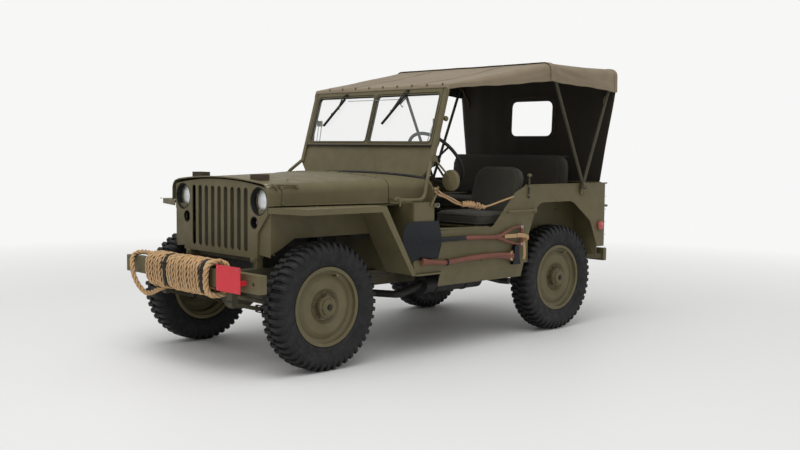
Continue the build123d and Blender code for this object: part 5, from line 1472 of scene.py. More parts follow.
def make_screen_fittings():
    maker = Maker("olive")
    for side in (LEFT, RIGHT):
        left, right = sorted((side * 15, side * 580))
        for out in (7, -7):
            maker.tube(rounded_pane(left, right, 31, 336, 22, out), 3.6, 8, "rubber", closed=True)
        maker.tube(rounded_pane(left - 9, right + 9, 22, 345, 28, 12.3), 2.4, 6, "black_paint", closed=True)
        post = [on_screen(side * 606, up, 12.4) for up in (-4, 150, 300, 384)]
        maker.tube(post, 1.7, 6, "black_paint")
        for up in (24, 130, 240, 350):
            maker.rivet(on_screen(side * 622, up, 12), SCREEN_OUT, 4.5)
        # post knob and the bent rods that prop the glass open
        knob = on_screen(side * 630, 190, -22)
        maker.turned([(0, 13), (6, 15), (22, 15), (26, 11), (26, 0)], knob, -SCREEN_OUT, 16)
        maker.block(knob - by(16, 4, 12), knob + by(16, 12, 12), 2)
        foot = on_screen(side * 560, 36, -28)
        stay = [knob - SCREEN_OUT * 0.012 - X * side * 0.01, on_screen(side * 580, 165, -28), foot]
        maker.tube(stay, 2.8, 8, "steel")
        maker.tube([on_screen(side * 545, 164, -26), on_screen(side * 524, 36, -24)], 2.8, 8, "steel")
        low, high = on_screen(side * 565, 150, -30), on_screen(side * 565, 185, -18)
        maker.block(low - X * 0.028, high + X * 0.028, 3)
        handle = [on_screen(side * 612, up, -26 - 10 * math.sin(up / 30)) for up in (96, 70, 40, 8, -14)]
        maker.tube(eased(handle, 4), 6.5, 10, "dark_iron")
        # swing pivot at the foot of each arm
        pivot = at(side * 692, -508, 926)
        maker.turned([(-16, 19), (16, 19), (18, 12), (22, 12), (22, 0)], pivot, X * side, 18)
        for turn in (20, 140, 260):
            a = math.radians(turn)
            tip = pivot + X * side * 0.02 + spoke(a, Y, Z) * 0.03
            maker.tube([pivot + X * side * 0.018, tip], [8, 5], 8)
            maker.rivet(tip, X * side, 6)
        maker.block(at(side * 692, -560, 911) - X * 0.02, at(side * 692, -470, 916) + X * 0.02, 2)
        # clamp that pulls the frame down on the cowl
        hook = at(side * 655, -222, 1000)
        maker.turned([(-10, 13), (10, 13), (12, 9), (12, 0)], hook, X * side, 14)
        bends = ((0, 0, 0), (side * 4, 12, -55), (side * 12, 30, -75))
        maker.tube([hook + by(*bend) for bend in bends], 4.5, 8)
        maker.bolt(hook + X * side * 0.012, X * side, 6)
        for x in (side * 200, side * 222):
            maker.bolt(on_screen(x, -168, 1.5), SCREEN_OUT, 4.5, washer=False)
    line = [on_screen(x, 4, 13) for x in (-606, -300, 0, 300, 606)]
    maker.tube(line, 5.2, 8, "rubber")
    arch = []
    for k in range(41):
        x = -560 + 28 * k
        arch.append(on_screen(x, up_screen(1052 + 18 * (1 - (x / 560) ** 2)), 4))
    right = [on_screen(x, up_screen(z), 6) for x, z in ((602, 1041), (633, 1014), (650, 980), (652, 948))]
    left = [Vector((-p.x, p.y, p.z)) for p in reversed(right)]
    maker.tube(eased(left + arch[2:-2:6] + right, 5), 9.5, 8, "rubber")
    piece("windscreen_fittings", maker)
    wipers = Maker("black_paint")
    for top, foot, arm, hook in WIPERS:
        blade = [on_screen(*foot, 17), on_screen(*top, 17)]
        across = (blade[1] - blade[0]).cross(SCREEN_OUT).normalized()
        wipers.strap(blade, across, 9, 13, "rubber")
        wipers.strap([p + SCREEN_OUT * 0.007 for p in blade], across, 12.5, 5)
        wipers.tube([on_screen(a, b, 25) for a, b in arm], 5.2, 8, "dark_olive")
        wipers.turned([(-30, 9), (4, 9), (8, 5), (8, 0)], on_screen(*arm[0], 20), SCREEN_OUT, 12, "dark_iron")
        wipers.tube([on_screen(a, b, 20) for a, b in hook], 3.4, 6)
        middle_blade = blade[0].lerp(blade[1], 0.42) + SCREEN_OUT * 0.008
        wipers.lump(middle_blade, (6, 4, 9), 1)
    rod = [on_screen(-262, 306, 20), on_screen(246, 305, 20), on_screen(304, 312, 20)]
    wipers.tube(rod, 2.2, 8, "steel")
    piece("wipers", wipers)


# ---- hood and grille ----------------------------------------------------------------------------
HOOD_FRONT, HOOD_LENGTH = -1285, 782
HOOD_SHOULDER = 60
"""Radius of the long edges between the hood's top and its sides."""


def hood_section(y):
    """(half width inside the shoulders, height of the edges, height of the middle) at a place along."""
    t = (y - HOOD_FRONT) / HOOD_LENGTH
    return 430 + 110 * t, 1030 + 20 * t, 1055 + 23 * t


def hood_side(y, z, lift):
    """A place on the hood's left side or shoulder at a height, and the way it faces."""
    flat, edge, _ = hood_section(y)
    over = max(0, z - (edge - HOOD_SHOULDER))
    reach = math.sqrt(max(0, HOOD_SHOULDER**2 - over * over))
    facing = Vector((reach, 0, over)).normalized()
    return at(flat + reach, y, z) + facing * mm(lift), facing


def hood_top(x, y, lift):
    flat, edge, crown = hood_section(y)
    return at(x, y, crown - (crown - edge) * (x / flat) ** 2 + lift)


def mirrored(points, side):
    return [Vector((p.x * side, p.y, p.z)) for p in points]


def make_hood_fittings():
    maker = Maker("olive")
    for side in (LEFT, RIGHT):
        bar = [hood_side(y, z, lift)[0] for y, z, lift in
               ((-1240, 1012, 9), (-1222, 1014, 13), (-1180, 1013, 14), (-1120, 1012, 13), (-1098, 1013, 8))]
        maker.tube(mirrored(eased(bar, 4), side), 6.2, 10)
        for y, z in ((-1232, 1010), (-1196, 1008), (-1104, 1010)):
            place, out = hood_side(y, z, 3)
            place, out = mirrored([place, out], side)
            maker.turned([(-4, 13), (4, 13), (9, 7), (9, 0)], place, out, 14)
            maker.bolt(place + out * 0.006, out, 5, washer=False)
        bends = ((-1262, 1004, 4), (-1250, 1018, 13), (-1238, 1006, 15), (-1226, 992, 8))
        hook = [hood_side(*bend)[0] for bend in bends]
        maker.tube(mirrored(eased(hook, 4), side), 4.2, 8)
        wire = [hood_side(-1196, z, lift)[0] for z, lift in ((1010, 10), (985, 7), (950, 5), (915, 5))]
        maker.tube(mirrored(wire, side), 3.4, 8)
        place = mirrored([hood_side(-1196, 918, 6)[0]], side)[0]
        maker.lump(place, (7, 8, 8), 2)
        place, out = hood_side(-1123, 1044, 2)
        maker.rivet(mirrored([place], side)[0], Z, 8, "black_paint")
        edge = mirrored([hood_side(y, 910, 0.5)[0] for y in (-1282, -1000, -700, -506)], side)
        maker.tube(edge, 3.2, 8)
        for y in (-1276, -1268):
            for z in (1012, 1024):
                place, out = hood_side(y, z, 0)
                place, out = mirrored([place, out], side)
                maker.rivet(place, out, 2.8, "bright")
    front = [hood_top(x, -1283, 1.5) for x in range(-420, 421, 40)]
    maker.tube(front, 3, 8)
    for k in range(9):
        start, end = -500 + k * 112, -500 + k * 112 + 98
        knuckle = [hood_top(min(x, 520), -506, 0.5) for x in (start, (start + end) / 2, end)]
        maker.tube(knuckle, 5.2, 10)
    piece("hood_fittings", maker, "hood")


def make_front_fittings():
    maker = Maker("olive")
    for side in (LEFT, RIGHT):
        # closing plate from the grille's narrow lower part out to the wheel apron
        outline = [(side * 370, 636), (side * 480.5, 625), (side * 480.5, 885), (side * 370, 885)]
        maker.cut_plate(outline if side == LEFT else outline[::-1], at(0, -1257, 0), X, Z, 2, 0.5)
        foot = at(side * 330, -1262, 606)
        maker.block(foot - by(20, 12, 20), foot + by(20, 12, 10), 3)
        maker.bolt(foot + by(0, -12, -4), -Y, 9)
        maker.tube([foot - Z * 0.02, foot - Z * 0.06], 9, 10, "dark_olive")
        # tow hook on the frame horn
        base = at(side * 352, -1400, 488)
        bends = ((0, 0), (-4, 35), (12, 62), (36, 58), (40, 38))
        hook = [base + by(0, y, z) for y, z in bends]
        maker.tube(eased(hook, 4), 8.8, 10)
        maker.bolt(base + Z * 0.004, Z, 12)
        for x in (side * 318, side * 372, side * 520, side * 600):
            for z in (492, 540):
                maker.bolt(at(x, -1485, z), -Y, 8.5 if abs(x) < 400 else 6)
        # frame horn gusset behind the bumper
        horn = [at(side * x, y, 512) for x, y in ((372, -1436), (420, -1436), (392, -1380), (372, -1300))]
        maker.strap(eased(horn[1:], 3), Z, 50, 5, "olive")
    for side in (LEFT, RIGHT):
        for y in (-1240, -1000, -720):
            maker.bolt(at(side * 700, y, 900), Z, 6)
            maker.bolt(at(side * 560, y, 900), Z, 6)
        for z in (640, 760, 860):
            maker.rivet(at(side * 486, -1240, z), X * side, 5)
    for x in (400, 580):
        for z in (478, 590):
            maker.rivet(at(x, -1544.5, z), -Y, 3.5, "steel")
    piece("front_fittings", maker)


# ---- sides --------------------------------------------------------------------------------------
TUB_SIDE = 715.2
REAR_FACE = 1515.2


def make_side_fittings():
    maker = Maker("olive")
    for side in (LEFT, RIGHT):
        out = X * side
        post = at(side * 722, 634, 912)
        maker.tube([post, post + Z * 0.14], 6.2, 10, "dark_olive")
        maker.turned([(0, 6), (4, 13), (12, 16.5), (20, 13), (24, 5), (24, 0)], post + Z * 0.136, Z, 16)
        for z in (12, 70):
            maker.block(post + by(-8, -13, z), post + by(7, 13, z + 12), 2)
            maker.bolt(post + by(0, 18, z + 6) - out * 0.006, out, 4.5)
        for y in (408, 704):
            pad = at(side * TUB_SIDE, y, 831)
            maker.turned([(0, 21), (3, 21), (4, 18), (4, 0)], pad, out, 18)
            maker.bolt(pad + out * 0.003 + Y * (0.012 if y < 500 else -0.012), out, 4.2, washer=False)
        # catches of the door strap
        for y, z in ((-236, 985), (-226, 892)):
            base = at(side * 718, y, z)
            maker.block(base - by(4, 16, 12), base + by(6, 12, 12), 2)
            maker.tube(arc(base + Y * 0.016, Y, Z, 0.013, -180, 90, 10), 3.2, 8, "steel")
            maker.rivet(base + out * 0.006, out, 5)
        # reflector
        round_mark = at(side * 727, 1428, 698)
        ring_piece(maker, [(0, 34), (4, 37), (6, 34), (4, 30)], round_mark - out * 0.002, out, 32, "olive")
        maker.turned([(0, 31), (3, 29), (6, 18), (7.5, 0)], round_mark, out, 28, "red_lens")
        # bow clamp at the tub's edge
        clamp = at(side * 731, 1205, 988)
        maker.block(clamp - by(5, 28, 66), clamp + by(6, 28, 4), 3)
        maker.turned([(0, 17), (10, 17), (14, 12), (14, 0)], clamp + out * 0.004, out, 16)
        wing = clamp + out * 0.017
        for way in (1, -1):
            bends = [wing + by(0, way * y, z) for y, z in ((0, 0), (14, 5), (24, 16))]
            maker.tube(bends, [6, 5.5, 4], 8)
        maker.bolt(clamp + by(side * 6, 0, -50), out, 7)
        # body seams, beads and screws
        maker.strap([at(side * 715.4, y, 749 - (y + 230) * 0.02) for y in (-228, 0, 250)], Z, 12, 1.8)
        maker.tube([at(side * 713, y, 996) for y in (640, 900, 1200, 1508)], 4.2, 8)
        for y in range(660, 1500, 120):
            maker.rivet(at(side * TUB_SIDE, y, 975), out, 3.5)
        for z in range(540, 1000, 90):
            maker.rivet(at(side * TUB_SIDE, 1494, z), out, 3.5)
        for y in (-150, 30, 210, 390, 570):
            maker.rivet(at(side * TUB_SIDE, y, 508), out, 4)
        for z in (560, 700, 840):
            maker.rivet(at(side * TUB_SIDE, -380, z), out, 4)
        # axle strap loop and step edge under the cowl
        maker.tube([at(side * 738, y, 486) for y in (-400, -176)], 4.5, 8)
    piece("side_fittings", maker)


STRAP_ROLL = ((-246, 984), (-200, 962), (-159, 945), (-79, 914), (-7, 892), (66, 890), (141, 876), (205, 868))
STRAP_TAIL = ((205, 868), (274, 880), (345, 896), (420, 912), (478, 924))


STRAP_WRAPS = (
    # share of the roll where it starts, turns, size in metres, lean
    (0.04, 2, 0.017, 0.5), (0.26, 3, 0.021, -0.35), (0.58, 2, 0.020, 0.45), (0.84, 1, 0.014, -0.2),
)


def make_door_strap():
    """Strips of webbing from the cowl's hook, gathered in a tied roll, and one thin end to the body."""
    maker = Maker("webbing")
    x = 722
    line = eased([at(x, y, z) for y, z in STRAP_ROLL], 5)
    for k, (lift, out, tall) in enumerate(((0.010, 0.0, 11), (-0.010, 0.004, 10), (0.0, -0.004, 12))):
        wave = []
        for i, p in enumerate(line):
            gather = 1 - 0.5 * min(1, i / len(line) * 1.6)
            sway = 0.0024 * math.sin(i * 0.55 + k * 2.1)
            wave.append(p + Vector((out + sway, 0, (lift + sway) * gather)))
        maker.strap(wave, Vector((0.35 * math.sin(k * 2.0), 0, 1)).normalized(), tall, 3.4)
    centre = eased([at(x, y, z) for y, z in STRAP_ROLL[4:]], 8)
    for start, turns, size, lean in STRAP_WRAPS:
        wrap = []
        for i in range(turns * 14 + 1):
            a = 2 * math.pi * i / 14
            share = start + 0.1 * i / 14
            here = centre[min(len(centre) - 1, int(share * (len(centre) - 1)))]
            round_way = Vector((math.cos(a) * 0.62, lean * math.sin(a) * 0.7, math.sin(a)))
            wrap.append(here + round_way * size * (0.92 + 0.1 * math.sin(i * 0.9)))
        maker.strap(wrap, Y, 13, 3.6)
    bundle = [10 + 6 * math.sin(math.pi * min(1, i / 14)) for i in range(len(centre))]
    maker.tube(centre, bundle, 12)
    tail = eased([at(719, y, z) for y, z in STRAP_TAIL], 4)
    maker.strap(tail, Z, 11, 3.2)
    maker.rivet(tail[-1] + X * 0.0015, X, 5, "steel")
    hook = [at(722, y, z) for y, z in ((-212, 1004), (-222, 990), (-246, 984), (-262, 990), (-258, 1004))]
    maker.tube(eased(hook, 4), 4.5, 8, "olive")
    catch = [at(724, y, z) for y, z in ((-212, 1002), (-228, 960), (-262, 905), (-270, 888))]
    maker.tube(eased(catch, 4), 6.2, 8, "olive")
    piece("door_strap", maker, replaces=("safety_strap",), sharp=50)


BLADE_Z = 687


def blade_dish(y, z):
    """How far the shovel's blade stands off the body: dished across, with a raised frog behind its socket."""
    v = (z - BLADE_Z) / 118
    u = (y + 215) / -283
    frog = 13 * max(0, 1 - u * 1.9) * max(0, 1 - abs(v) / (0.16 + 0.5 * (1 - u)))
    return 722 + 22 * (1 - v * v) * (1 - 0.5 * u) + frog - 7 * u * u


def make_shovel():
    maker = Maker("blued_steel")
    rows = []
    steps, across = 26, 22
    for i in range(steps + 1):
        u = i / steps
        y = -213 - 283 * u
        tip = max(0, (u - 0.62) / 0.38)
        half = 117 * math.sqrt(max(0.0, 1 - tip ** 3.2 * 0.82)) * (1 - 0.05 * (1 - u))
        rows.append([(y - 6 * math.cos(a) * tip, BLADE_Z + half * 2 * a / math.pi)
                     for a in half_turn(across, -0.5)])
    front = [[at(blade_dish(y, z), y, z) for y, z in row] for row in rows]
    back = [[p - X * 0.0024 for p in row] for row in front]
    rings = [f + list(reversed(b)) for f, b in zip(front, back)]
    maker.rings(rings, "blued_steel")
    for tread in ((572, 600, 640, 664), (710, 740, 775, 802)):
        maker.tube([at(blade_dish(-214, z) - 3, -211, z) for z in tread], 3.8, 8)
    frog = [(-300, 5), (-285, 11), (-262, 17), (-235, 20), (-205, 18), (-170, 14.5), (-100, 14), (18, 14),
            (22, 13)]
    rings = []
    for y, r in frog:
        x = 738 - (4 if y < -230 else 0)
        rings.append(hoop((x, y, 686), (0.75 * r, 0, 0), (0, 0, r), round_turn(16)))
    maker.rings(rings)
    for y in (-120, -20):
        maker.rivet(at(748.5, y, 686), X, 5, "dark_iron")
    maker.tube(hoop((740, -228, 668), (0, 9, 0), (0, 0, 7), half_turn(6)), 2.2, 6, "steel")
    piece("shovel_head", maker, replaces=("shovel_blade",))
    handle = Maker("wood")
    line = eased([at(736, y, z) for y, z in ((10, 686), (120, 682), (240, 677), (312, 673))], 5)
    radius = [13.2 + 1.2 * i / len(line) for i in range(len(line))]
    handle.tube(line, radius, 16)
    upper = [(300, 676), (345, 684), (400, 704), (455, 723), (500, 731), (548, 731)]
    lower = [(300, 670), (345, 663), (400, 645), (455, 630), (500, 621), (548, 618)]
    for arm in (upper, lower):
        route = eased([at(738, y, z) for y, z in arm], 4)
        handle.tube(route, [12.5 - 5 * min(1, i / 12) for i in range(len(route))], 12)
    grip = [at(738, 545, z) for z in (606, 640, 675, 710, 742)]
    handle.tube(grip, [10.5, 12.5, 13, 12.5, 10.5], 14)
    for z in (619, 731):
        ring_piece(handle, [(-9, 13.5), (9, 13.5), (9, 11.8), (-9, 11.8)], at(738, 545, z), Z, 16, "steel")
    piece("shovel_grip", handle, replaces=("shovel_handle",))


TOOL_X = 735
AXE_LINE = (
    # place along the car, height, half its height there
    (-350, 562, 24), (-335, 563, 21), (-300, 560, 16), (-230, 552, 13.5), (-160, 547, 14), (-57, 551, 15),
    (70, 559, 16.5), (200, 561, 17), (330, 558, 18), (400, 550, 22), (470, 543, 27),
)


def make_axe():
    maker = Maker("wood")
    rings = []
    for y, z, r in AXE_LINE:
        rings.append(hoop((TOOL_X, y, z), (11, 0, 0), (0, 6 if y < -340 else 0, r), round_turn(18)))
    maker.rings(rings)
    piece("axe_haft", maker, replaces=("axe_handle",))
    fittings = Maker("rubber")
    for y in (-146, -139):
        band = hoop((TOOL_X, y, 548), (13, 0, 0), (0, 0, 17.5), round_turn(20))
        fittings.tube(band, 2.8, 8, closed=True)
    knot = hoop((TOOL_X, -142, 548), (14, 0, 0), (0, 0, 19), [math.pi * (0.2 + 0.11 * k) for k in range(8)])
    fittings.tube(knot, 3, 8)
    strap = bent(((745, 372, 676), (754, 430, 677), (756, 520, 675), (753, 580, 660), (744, 604, 652)), 4)
    fittings.strap(strap, Z, 24, 3, "webbing")
    fittings.strap([p + by(2, 4, 4) for p in strap[6:]], Z, 24, 3, "webbing")
    drop = bent(((752, 548, 668), (753, 556, 620), (748, 566, 575), (744, 572, 545), (740, 570, 520)), 4)
    fittings.strap(drop, Y, 22, 3, "webbing")
    buckle = [at(757, y, z) for y, z in ((540, 640), (572, 640), (572, 664), (540, 664))]
    fittings.tube(buckle, 2.2, 8, "brass", closed=True)
    fittings.tube([at(757, 556, 640), at(757, 556, 664)], 1.8, 8, "brass")
    around = hoop((751, 438, 549), (-9, 3, 0), (0, 0, 30), half_turn(10, -0.5))
    fittings.strap(around, Y, 20, 3, "webbing")
    piece("tool_straps", fittings)


# ---- wheels -------------------------------------------------------------------------------------
NUT_CIRCLE = 69.85
"""From the wheel's axis to the middle of its nuts."""


def wheel_fittings(maker, centre, out):
    """Nuts, hub flange and cap, and the tyre valve."""
    side = Z.cross(out)
    for a in round_turn(5, 0.25):
        spot = centre + out * 0.0218 + spoke(a, side, Z) * mm(NUT_CIRCLE)
        maker.turned([(0, 14.5), (4, 14.5), (6, 11), (6, 0)], spot, out, 12)
        maker.turned([(4, 10.5), (15, 10.5), (18, 8.5), (18, 0)], spot, out, 6)
        maker.turned([(17, 5), (24, 5), (25, 4), (25, 0)], spot, out, 8, "dark_iron")
    flange = [(30, 42), (30, 52), (52, 54), (54, 58.5), (64, 58.5), (66, 56), (66, 42)]
    ring_piece(maker, flange, centre, out, 36, "olive")
    for a in round_turn(6):
        maker.bolt(centre + out * 0.066 + spoke(a, side, Z) * 0.0502, out, 6.5, rise=6)
    ring_piece(maker, [(66, 42), (66, 44.5), (76, 44.5), (80, 42)], centre, out, 32, "olive")
    ring_piece(maker, [(79.5, 24), (79.5, 34), (83, 33), (83, 25)], centre, out, 28, "olive")
    maker.bolt(centre + out * 0.0795, out, 13, "dark_iron", rise=7)
    valve = centre + (side * 0.35 + Z * 0.94).normalized() * 0.176
    stem = [valve + out * 0.034, valve + out * 0.052 + Z * 0.004, valve + out * 0.066 + Z * 0.006]
    maker.tube(stem, 3.5, 8, "rubber")
    maker.turned([(0, 4.5), (10, 4.5), (11, 3), (11, 0)], valve + out * 0.064 + Z * 0.006, out, 8, "brass")


def make_wheel_fittings():
    for name in WHEEL_BODIES:
        maker = Maker("olive")
        wheel_fittings(maker, middle(f"tyre_{name}"), X if name.endswith("l") else -X)
        piece(f"wheel_nuts_{name}", maker, f"wheel_{name}")
    maker = Maker("olive")
    centre = middle("spare_tyre")
    for a in round_turn(3, 0.25):
        spot = centre + Y * 0.022 + spoke(a, X, Z) * mm(NUT_CIRCLE)
        maker.turned([(0, 14.5), (4, 14.5), (6, 11), (6, 0)], spot, Y, 12)
        maker.bolt(spot + Y * 0.004, Y, 10.5, washer=False, rise=13)
    piece("spare_nuts", maker)


# ---- cab ----------------------------------------------------------------------------------------
DIALS = ((0, 990, 50), (-118, 1003, 28), (118, 1003, 28), (-118, 938, 28), (118, 938, 28))


DASH_Y = -190


def make_dash():
    """Dials, switches, grab bar and catches on the panel behind the windscreen."""
    maker = Maker("olive")
    for x, z, r in DIALS:
        face = at(x, DASH_Y, z)
        bezel = [(0, r - 3), (0, r + 4), (6, r + 3), (8, r), (6, r - 3)]
        ring_piece(maker, bezel, face, Y, 36, "black_paint")
        maker.turned([(0, r - 2), (3, r - 2), (3, 0)], face, Y, 32, "dial")
        marks = 12 if r > 40 else 6
        for k in range(marks + 1):
            a = math.radians(225 - 270 * k / marks)
            mark = [face + Y * 0.0036 + spoke(a, -X, Z) * mm(r * share) for share in (0.72, 0.88)]
            maker.tube(mark, 0.02 * r, 4, "dial_marks")
        a = math.radians(140 if r > 40 else 80)
        needle = [face + Y * 0.005 + spoke(a, -X, Z) * mm(r * share) for share in (0, 0.7)]
        maker.tube(needle, [1.6, 0.6], 6, "dial_marks")
        maker.turned([(3, r * 0.12), (7, r * 0.08), (7, 0)], face, Y, 12, "black_paint")
    for x in (-250, -200, 200, 250, 300):
        knob = [(0, 12), (2, 12), (3, 5), (20, 5), (22, 10), (30, 9), (31, 0)]
        maker.turned(knob, at(x, DASH_Y, 905), Y, 16, "black_paint")
    bends = ((-560, -190), (-560, -158), (-540, -150), (-360, -150), (-340, -158), (-340, -190))
    maker.tube(eased([at(x, y, 930) for x, y in bends], 4), 8, 10)
    for x in (-500, -400):
        maker.block(at(x - 40, -190.5, 975), at(x + 40, -188, 1015), 1)
        for dx in (-34, 34):
            maker.rivet(at(x + dx, -188, 1010), Y, 2.8, "brass")
    maker.block(at(-590, -191, 868), at(-300, -188.5, 872), 1, "black_paint")
    piece("dash_fittings", maker)
    hub = Maker("black_grip")
    centre = at(331, 158, 1158)
    tilt = math.radians(37.8)
    axis = Vector((0, math.cos(tilt), math.sin(tilt)))
    hub.turned([(-30, 30), (0, 36), (8, 34), (12, 22), (18, 21), (21, 15), (21, 0)], centre, axis, 28)
    piece("horn_button", hub, "steering_wheel")


def make_controls():
    maker = Maker("olive")
    boot = at(20, 60, 498)
    maker.turned([(0, 75), (4, 75), (6, 50), (30, 26), (50, 18), (50, 0)], boot, Z, 24, "rubber")
    bends = ((0, 0, 30), (0, 12, 180), (4, 50, 310), (8, 62, 360))
    lever = eased([boot + by(*bend) for bend in bends], 5)
    maker.tube(lever, 6.8, 10, "dark_iron")
    maker.turned([(-12, 8), (-6, 18), (8, 21), (20, 15), (26, 4), (26, 0)], lever[-1], Z, 18, "black_grip")
    for x, tall in ((98, 240), (128, 215)):
        foot = at(x, 130, 498)
        head = foot + by(0, 35, tall)
        maker.tube(eased([foot, foot + by(0, 10, tall * 0.6), head], 4), 5.2, 8, "dark_iron")
        maker.turned([(-8, 6), (0, 13), (12, 12), (18, 4), (18, 0)], head, Z, 14, "black_grip")
    for x in (262, 392):
        pad = at(x, -268, 648)
        maker.tube([at(x, -385, 700), at(x, -330, 655), pad + by(0, -12, 0)], 8, 8, "dark_iron")
        turn = Matrix.Rotation(math.radians(35), 3, "X")
        maker.lump(pad, (32, 7, 28), 4, "rubber", turn)
    maker.lump(at(190, -275, 622), (16, 5, 50), 4, "dark_iron", Matrix.Rotation(math.radians(38), 3, "X"))
    brake = bent(((-60, -210, 872), (-60, -160, 868), (-60, -120, 862)), 3)
    maker.tube(brake, 7, 8, "dark_iron")
    maker.tube([brake[-1] - X * 0.035, brake[-1] + X * 0.035], 9, 10, "black_grip")
    for x in (-560, -380, -200, 200, 380, 560):
        for y in (-120, 160):
            maker.rivet(at(x, y, 496.5), Z, 6)
    for side in (LEFT, RIGHT):
        rail = [at(side * 600, y, 884) for y in (760, 1000, 1300)]
        maker.tube(rail, 4, 6)
        for y in (700, 900, 1100):
            maker.rivet(at(side * 560, y, 884), Z, 5)
    bead = Maker("olive")
    for y in (30, 250, 760):
        for x in (-330, 0, 330):
            bead.strap([at(x - 120, y + 10, 497), at(x + 120, y + 10, 497)], Y, 20, 3)
    piece("cab_controls", maker)
    piece("floor_beads", bead)


# ---- mechanical parts ---------------------------------------------------------------------------
def make_engine():
    maker = Maker("dark_olive")
    for y in (-1080, -960, -840, -720):
        maker.turned([(0, 12), (20, 12), (24, 8), (50, 7), (54, 3), (54, 0)], at(60, y, 958), Z, 12, "steel")
        lead = bent(((60, y, 1008), (110, y + 20, 1012), (160, -870, 985), (190, -860, 955)), 4)
        maker.tube(lead, 3.8, 8, "black_grip")
        for x in (-120, 20, 130):
            maker.bolt(at(x, y - 40, 960), Z, 9, "dark_iron")
    maker.block(at(-150, -1130, 955), at(150, -590, 968), 6, "dark_olive")
    maker.turned([(0, 32), (30, 32), (50, 24), (60, 20), (60, 0)], at(0, -1120, 960), Z, 20, "dark_olive")
    hose = bent(((0, -1120, 1005), (0, -1150, 1012), (0, -1180, 1000)), 5)
    maker.tube(hose, 20, 14, "rubber")
    fan_hub = at(0, -1158, 800)
    maker.turned([(-12, 35), (0, 60), (6, 45), (12, 60), (18, 35), (18, 0)], fan_hub, Y, 24, "dark_iron")
    for a in round_turn(4, 0.5):
        way = spoke(a, X, Z)
        blade = [fan_hub + way * r - Y * 0.012 for r in (0.03, 0.09, 0.16)]
        maker.strap(blade, way.cross(Y) + Y * 0.35, 55, 3, "dark_iron")
    dynamo = at(262, -1110, 745)
    maker.turned([(0, 30), (10, 55), (160, 55), (170, 30), (170, 0)], dynamo, Y, 24, "dark_iron")
    maker.turned([(-20, 38), (-4, 38), (-4, 10), (-2, 0)], dynamo, Y, 20, "steel")
    manifold = bent(((195, -1080, 880), (235, -1040, 872), (240, -840, 868), (236, -680, 872),
                     (195, -640, 880)), 5)
    maker.tube(manifold, 30, 14, "dark_iron")
    for y in (-1000, -860, -720):
        maker.tube([at(180, y, 880), at(236, y, 871)], 26, 12, "dark_iron")
    downpipe = bent(((240, -800, 860), (262, -790, 780), (262, -700, 620), (262, -600, 520)), 5)
    maker.tube(downpipe, 26, 12, "dark_iron")
    carburettor = [(0, 35), (50, 40), (60, 50), (110, 50), (120, 30), (120, 0)]
    maker.turned(carburettor, at(232, -860, 900), Z, 20, "steel")
    cleaner = at(-330, -640, 720)
    drum = [(0, 70), (12, 78), (200, 78), (210, 84), (235, 84), (245, 60), (245, 0)]
    maker.turned(drum, cleaner, Z, 30, "olive")
    trunk = bent(((-330, -640, 920), (-260, -700, 960), (-60, -800, 1010), (200, -850, 1020)), 6)
    maker.tube(trunk, 24, 14, "rubber")
    maker.block(at(250, -640, 700), at(430, -470, 900), 6, "black_grip")
    for k in range(3):
        maker.turned([(0, 16), (8, 16), (10, 12), (10, 0)], at(285 + 55 * k, -560, 900), Z, 14, "black_grip")
    for x, y in ((275, -610), (405, -610)):
        maker.turned([(0, 12), (18, 9), (18, 0)], at(x, y, 898), Z, 12, "steel")
        cable = bent(((x, y, 914), (x - 40, y + 50, 925), (x - 60, -430, 880)), 4)
        maker.tube(cable, 6, 8, "black_grip")
    for z in range(600, 1000, 14):
        maker.strap([at(-282, -1174, z), at(282, -1174, z)], Z, 3.5, 2, "dark_iron")
    maker.turned([(0, 30), (12, 34), (18, 30), (24, 12), (24, 0)], at(0, -1200, 1012), Z, 20, "brass")
    piece("engine_details", maker)


AXLE_Y = 1016
"""From mid-wheelbase to each axle."""
AXLE_Z = 357
SPRING_X = 344.5
RAIL_SIDE = 371.2
LEAF_REACHES = (360, 300, 240, 180, 120)
LEAF_CURVE = 52
"""How far the ends of the longest leaf stand above its middle."""


def spring_dress(maker, side, axle_y):
    """Leaves, clips and U-bolts over one leaf spring."""
    pad = at(side * SPRING_X, axle_y, 322)
    for k, reach in enumerate(LEAF_REACHES):
        drop, rise = -4 - 5.5 * k, LEAF_CURVE * (reach / LEAF_REACHES[0]) ** 2
        line = [pad + by(0, reach * t, drop + rise * t * t) for t in (-1, -0.6, -0.25, 0, 0.25, 0.6, 1)]
        maker.strap(line, X, 49, 5, "dark_olive")
    for y in (-45, 45):
        over = [pad + by(0, y, 34) + spoke(a, X * 0.031, Z * 0.04) for a in half_turn(8)]
        maker.tube([pad + by(31, y, -45), *over, pad + by(-31, y, -45)], 6, 8, "dark_iron")
        for x in (-31, 31):
            maker.bolt(pad + by(x, y, -40), -Z, 9, "dark_iron")
    maker.block(pad + by(-40, -60, -42), pad + by(40, 60, -34), 2, "dark_olive")
    for y in (-220, 220):
        clip = [pad + by(x, y, z) for x, z in ((-26, -12), (26, -12), (26, 26), (-26, 26))]
        maker.strap(clip, Y, 18, 3, "dark_iron", closed=True)


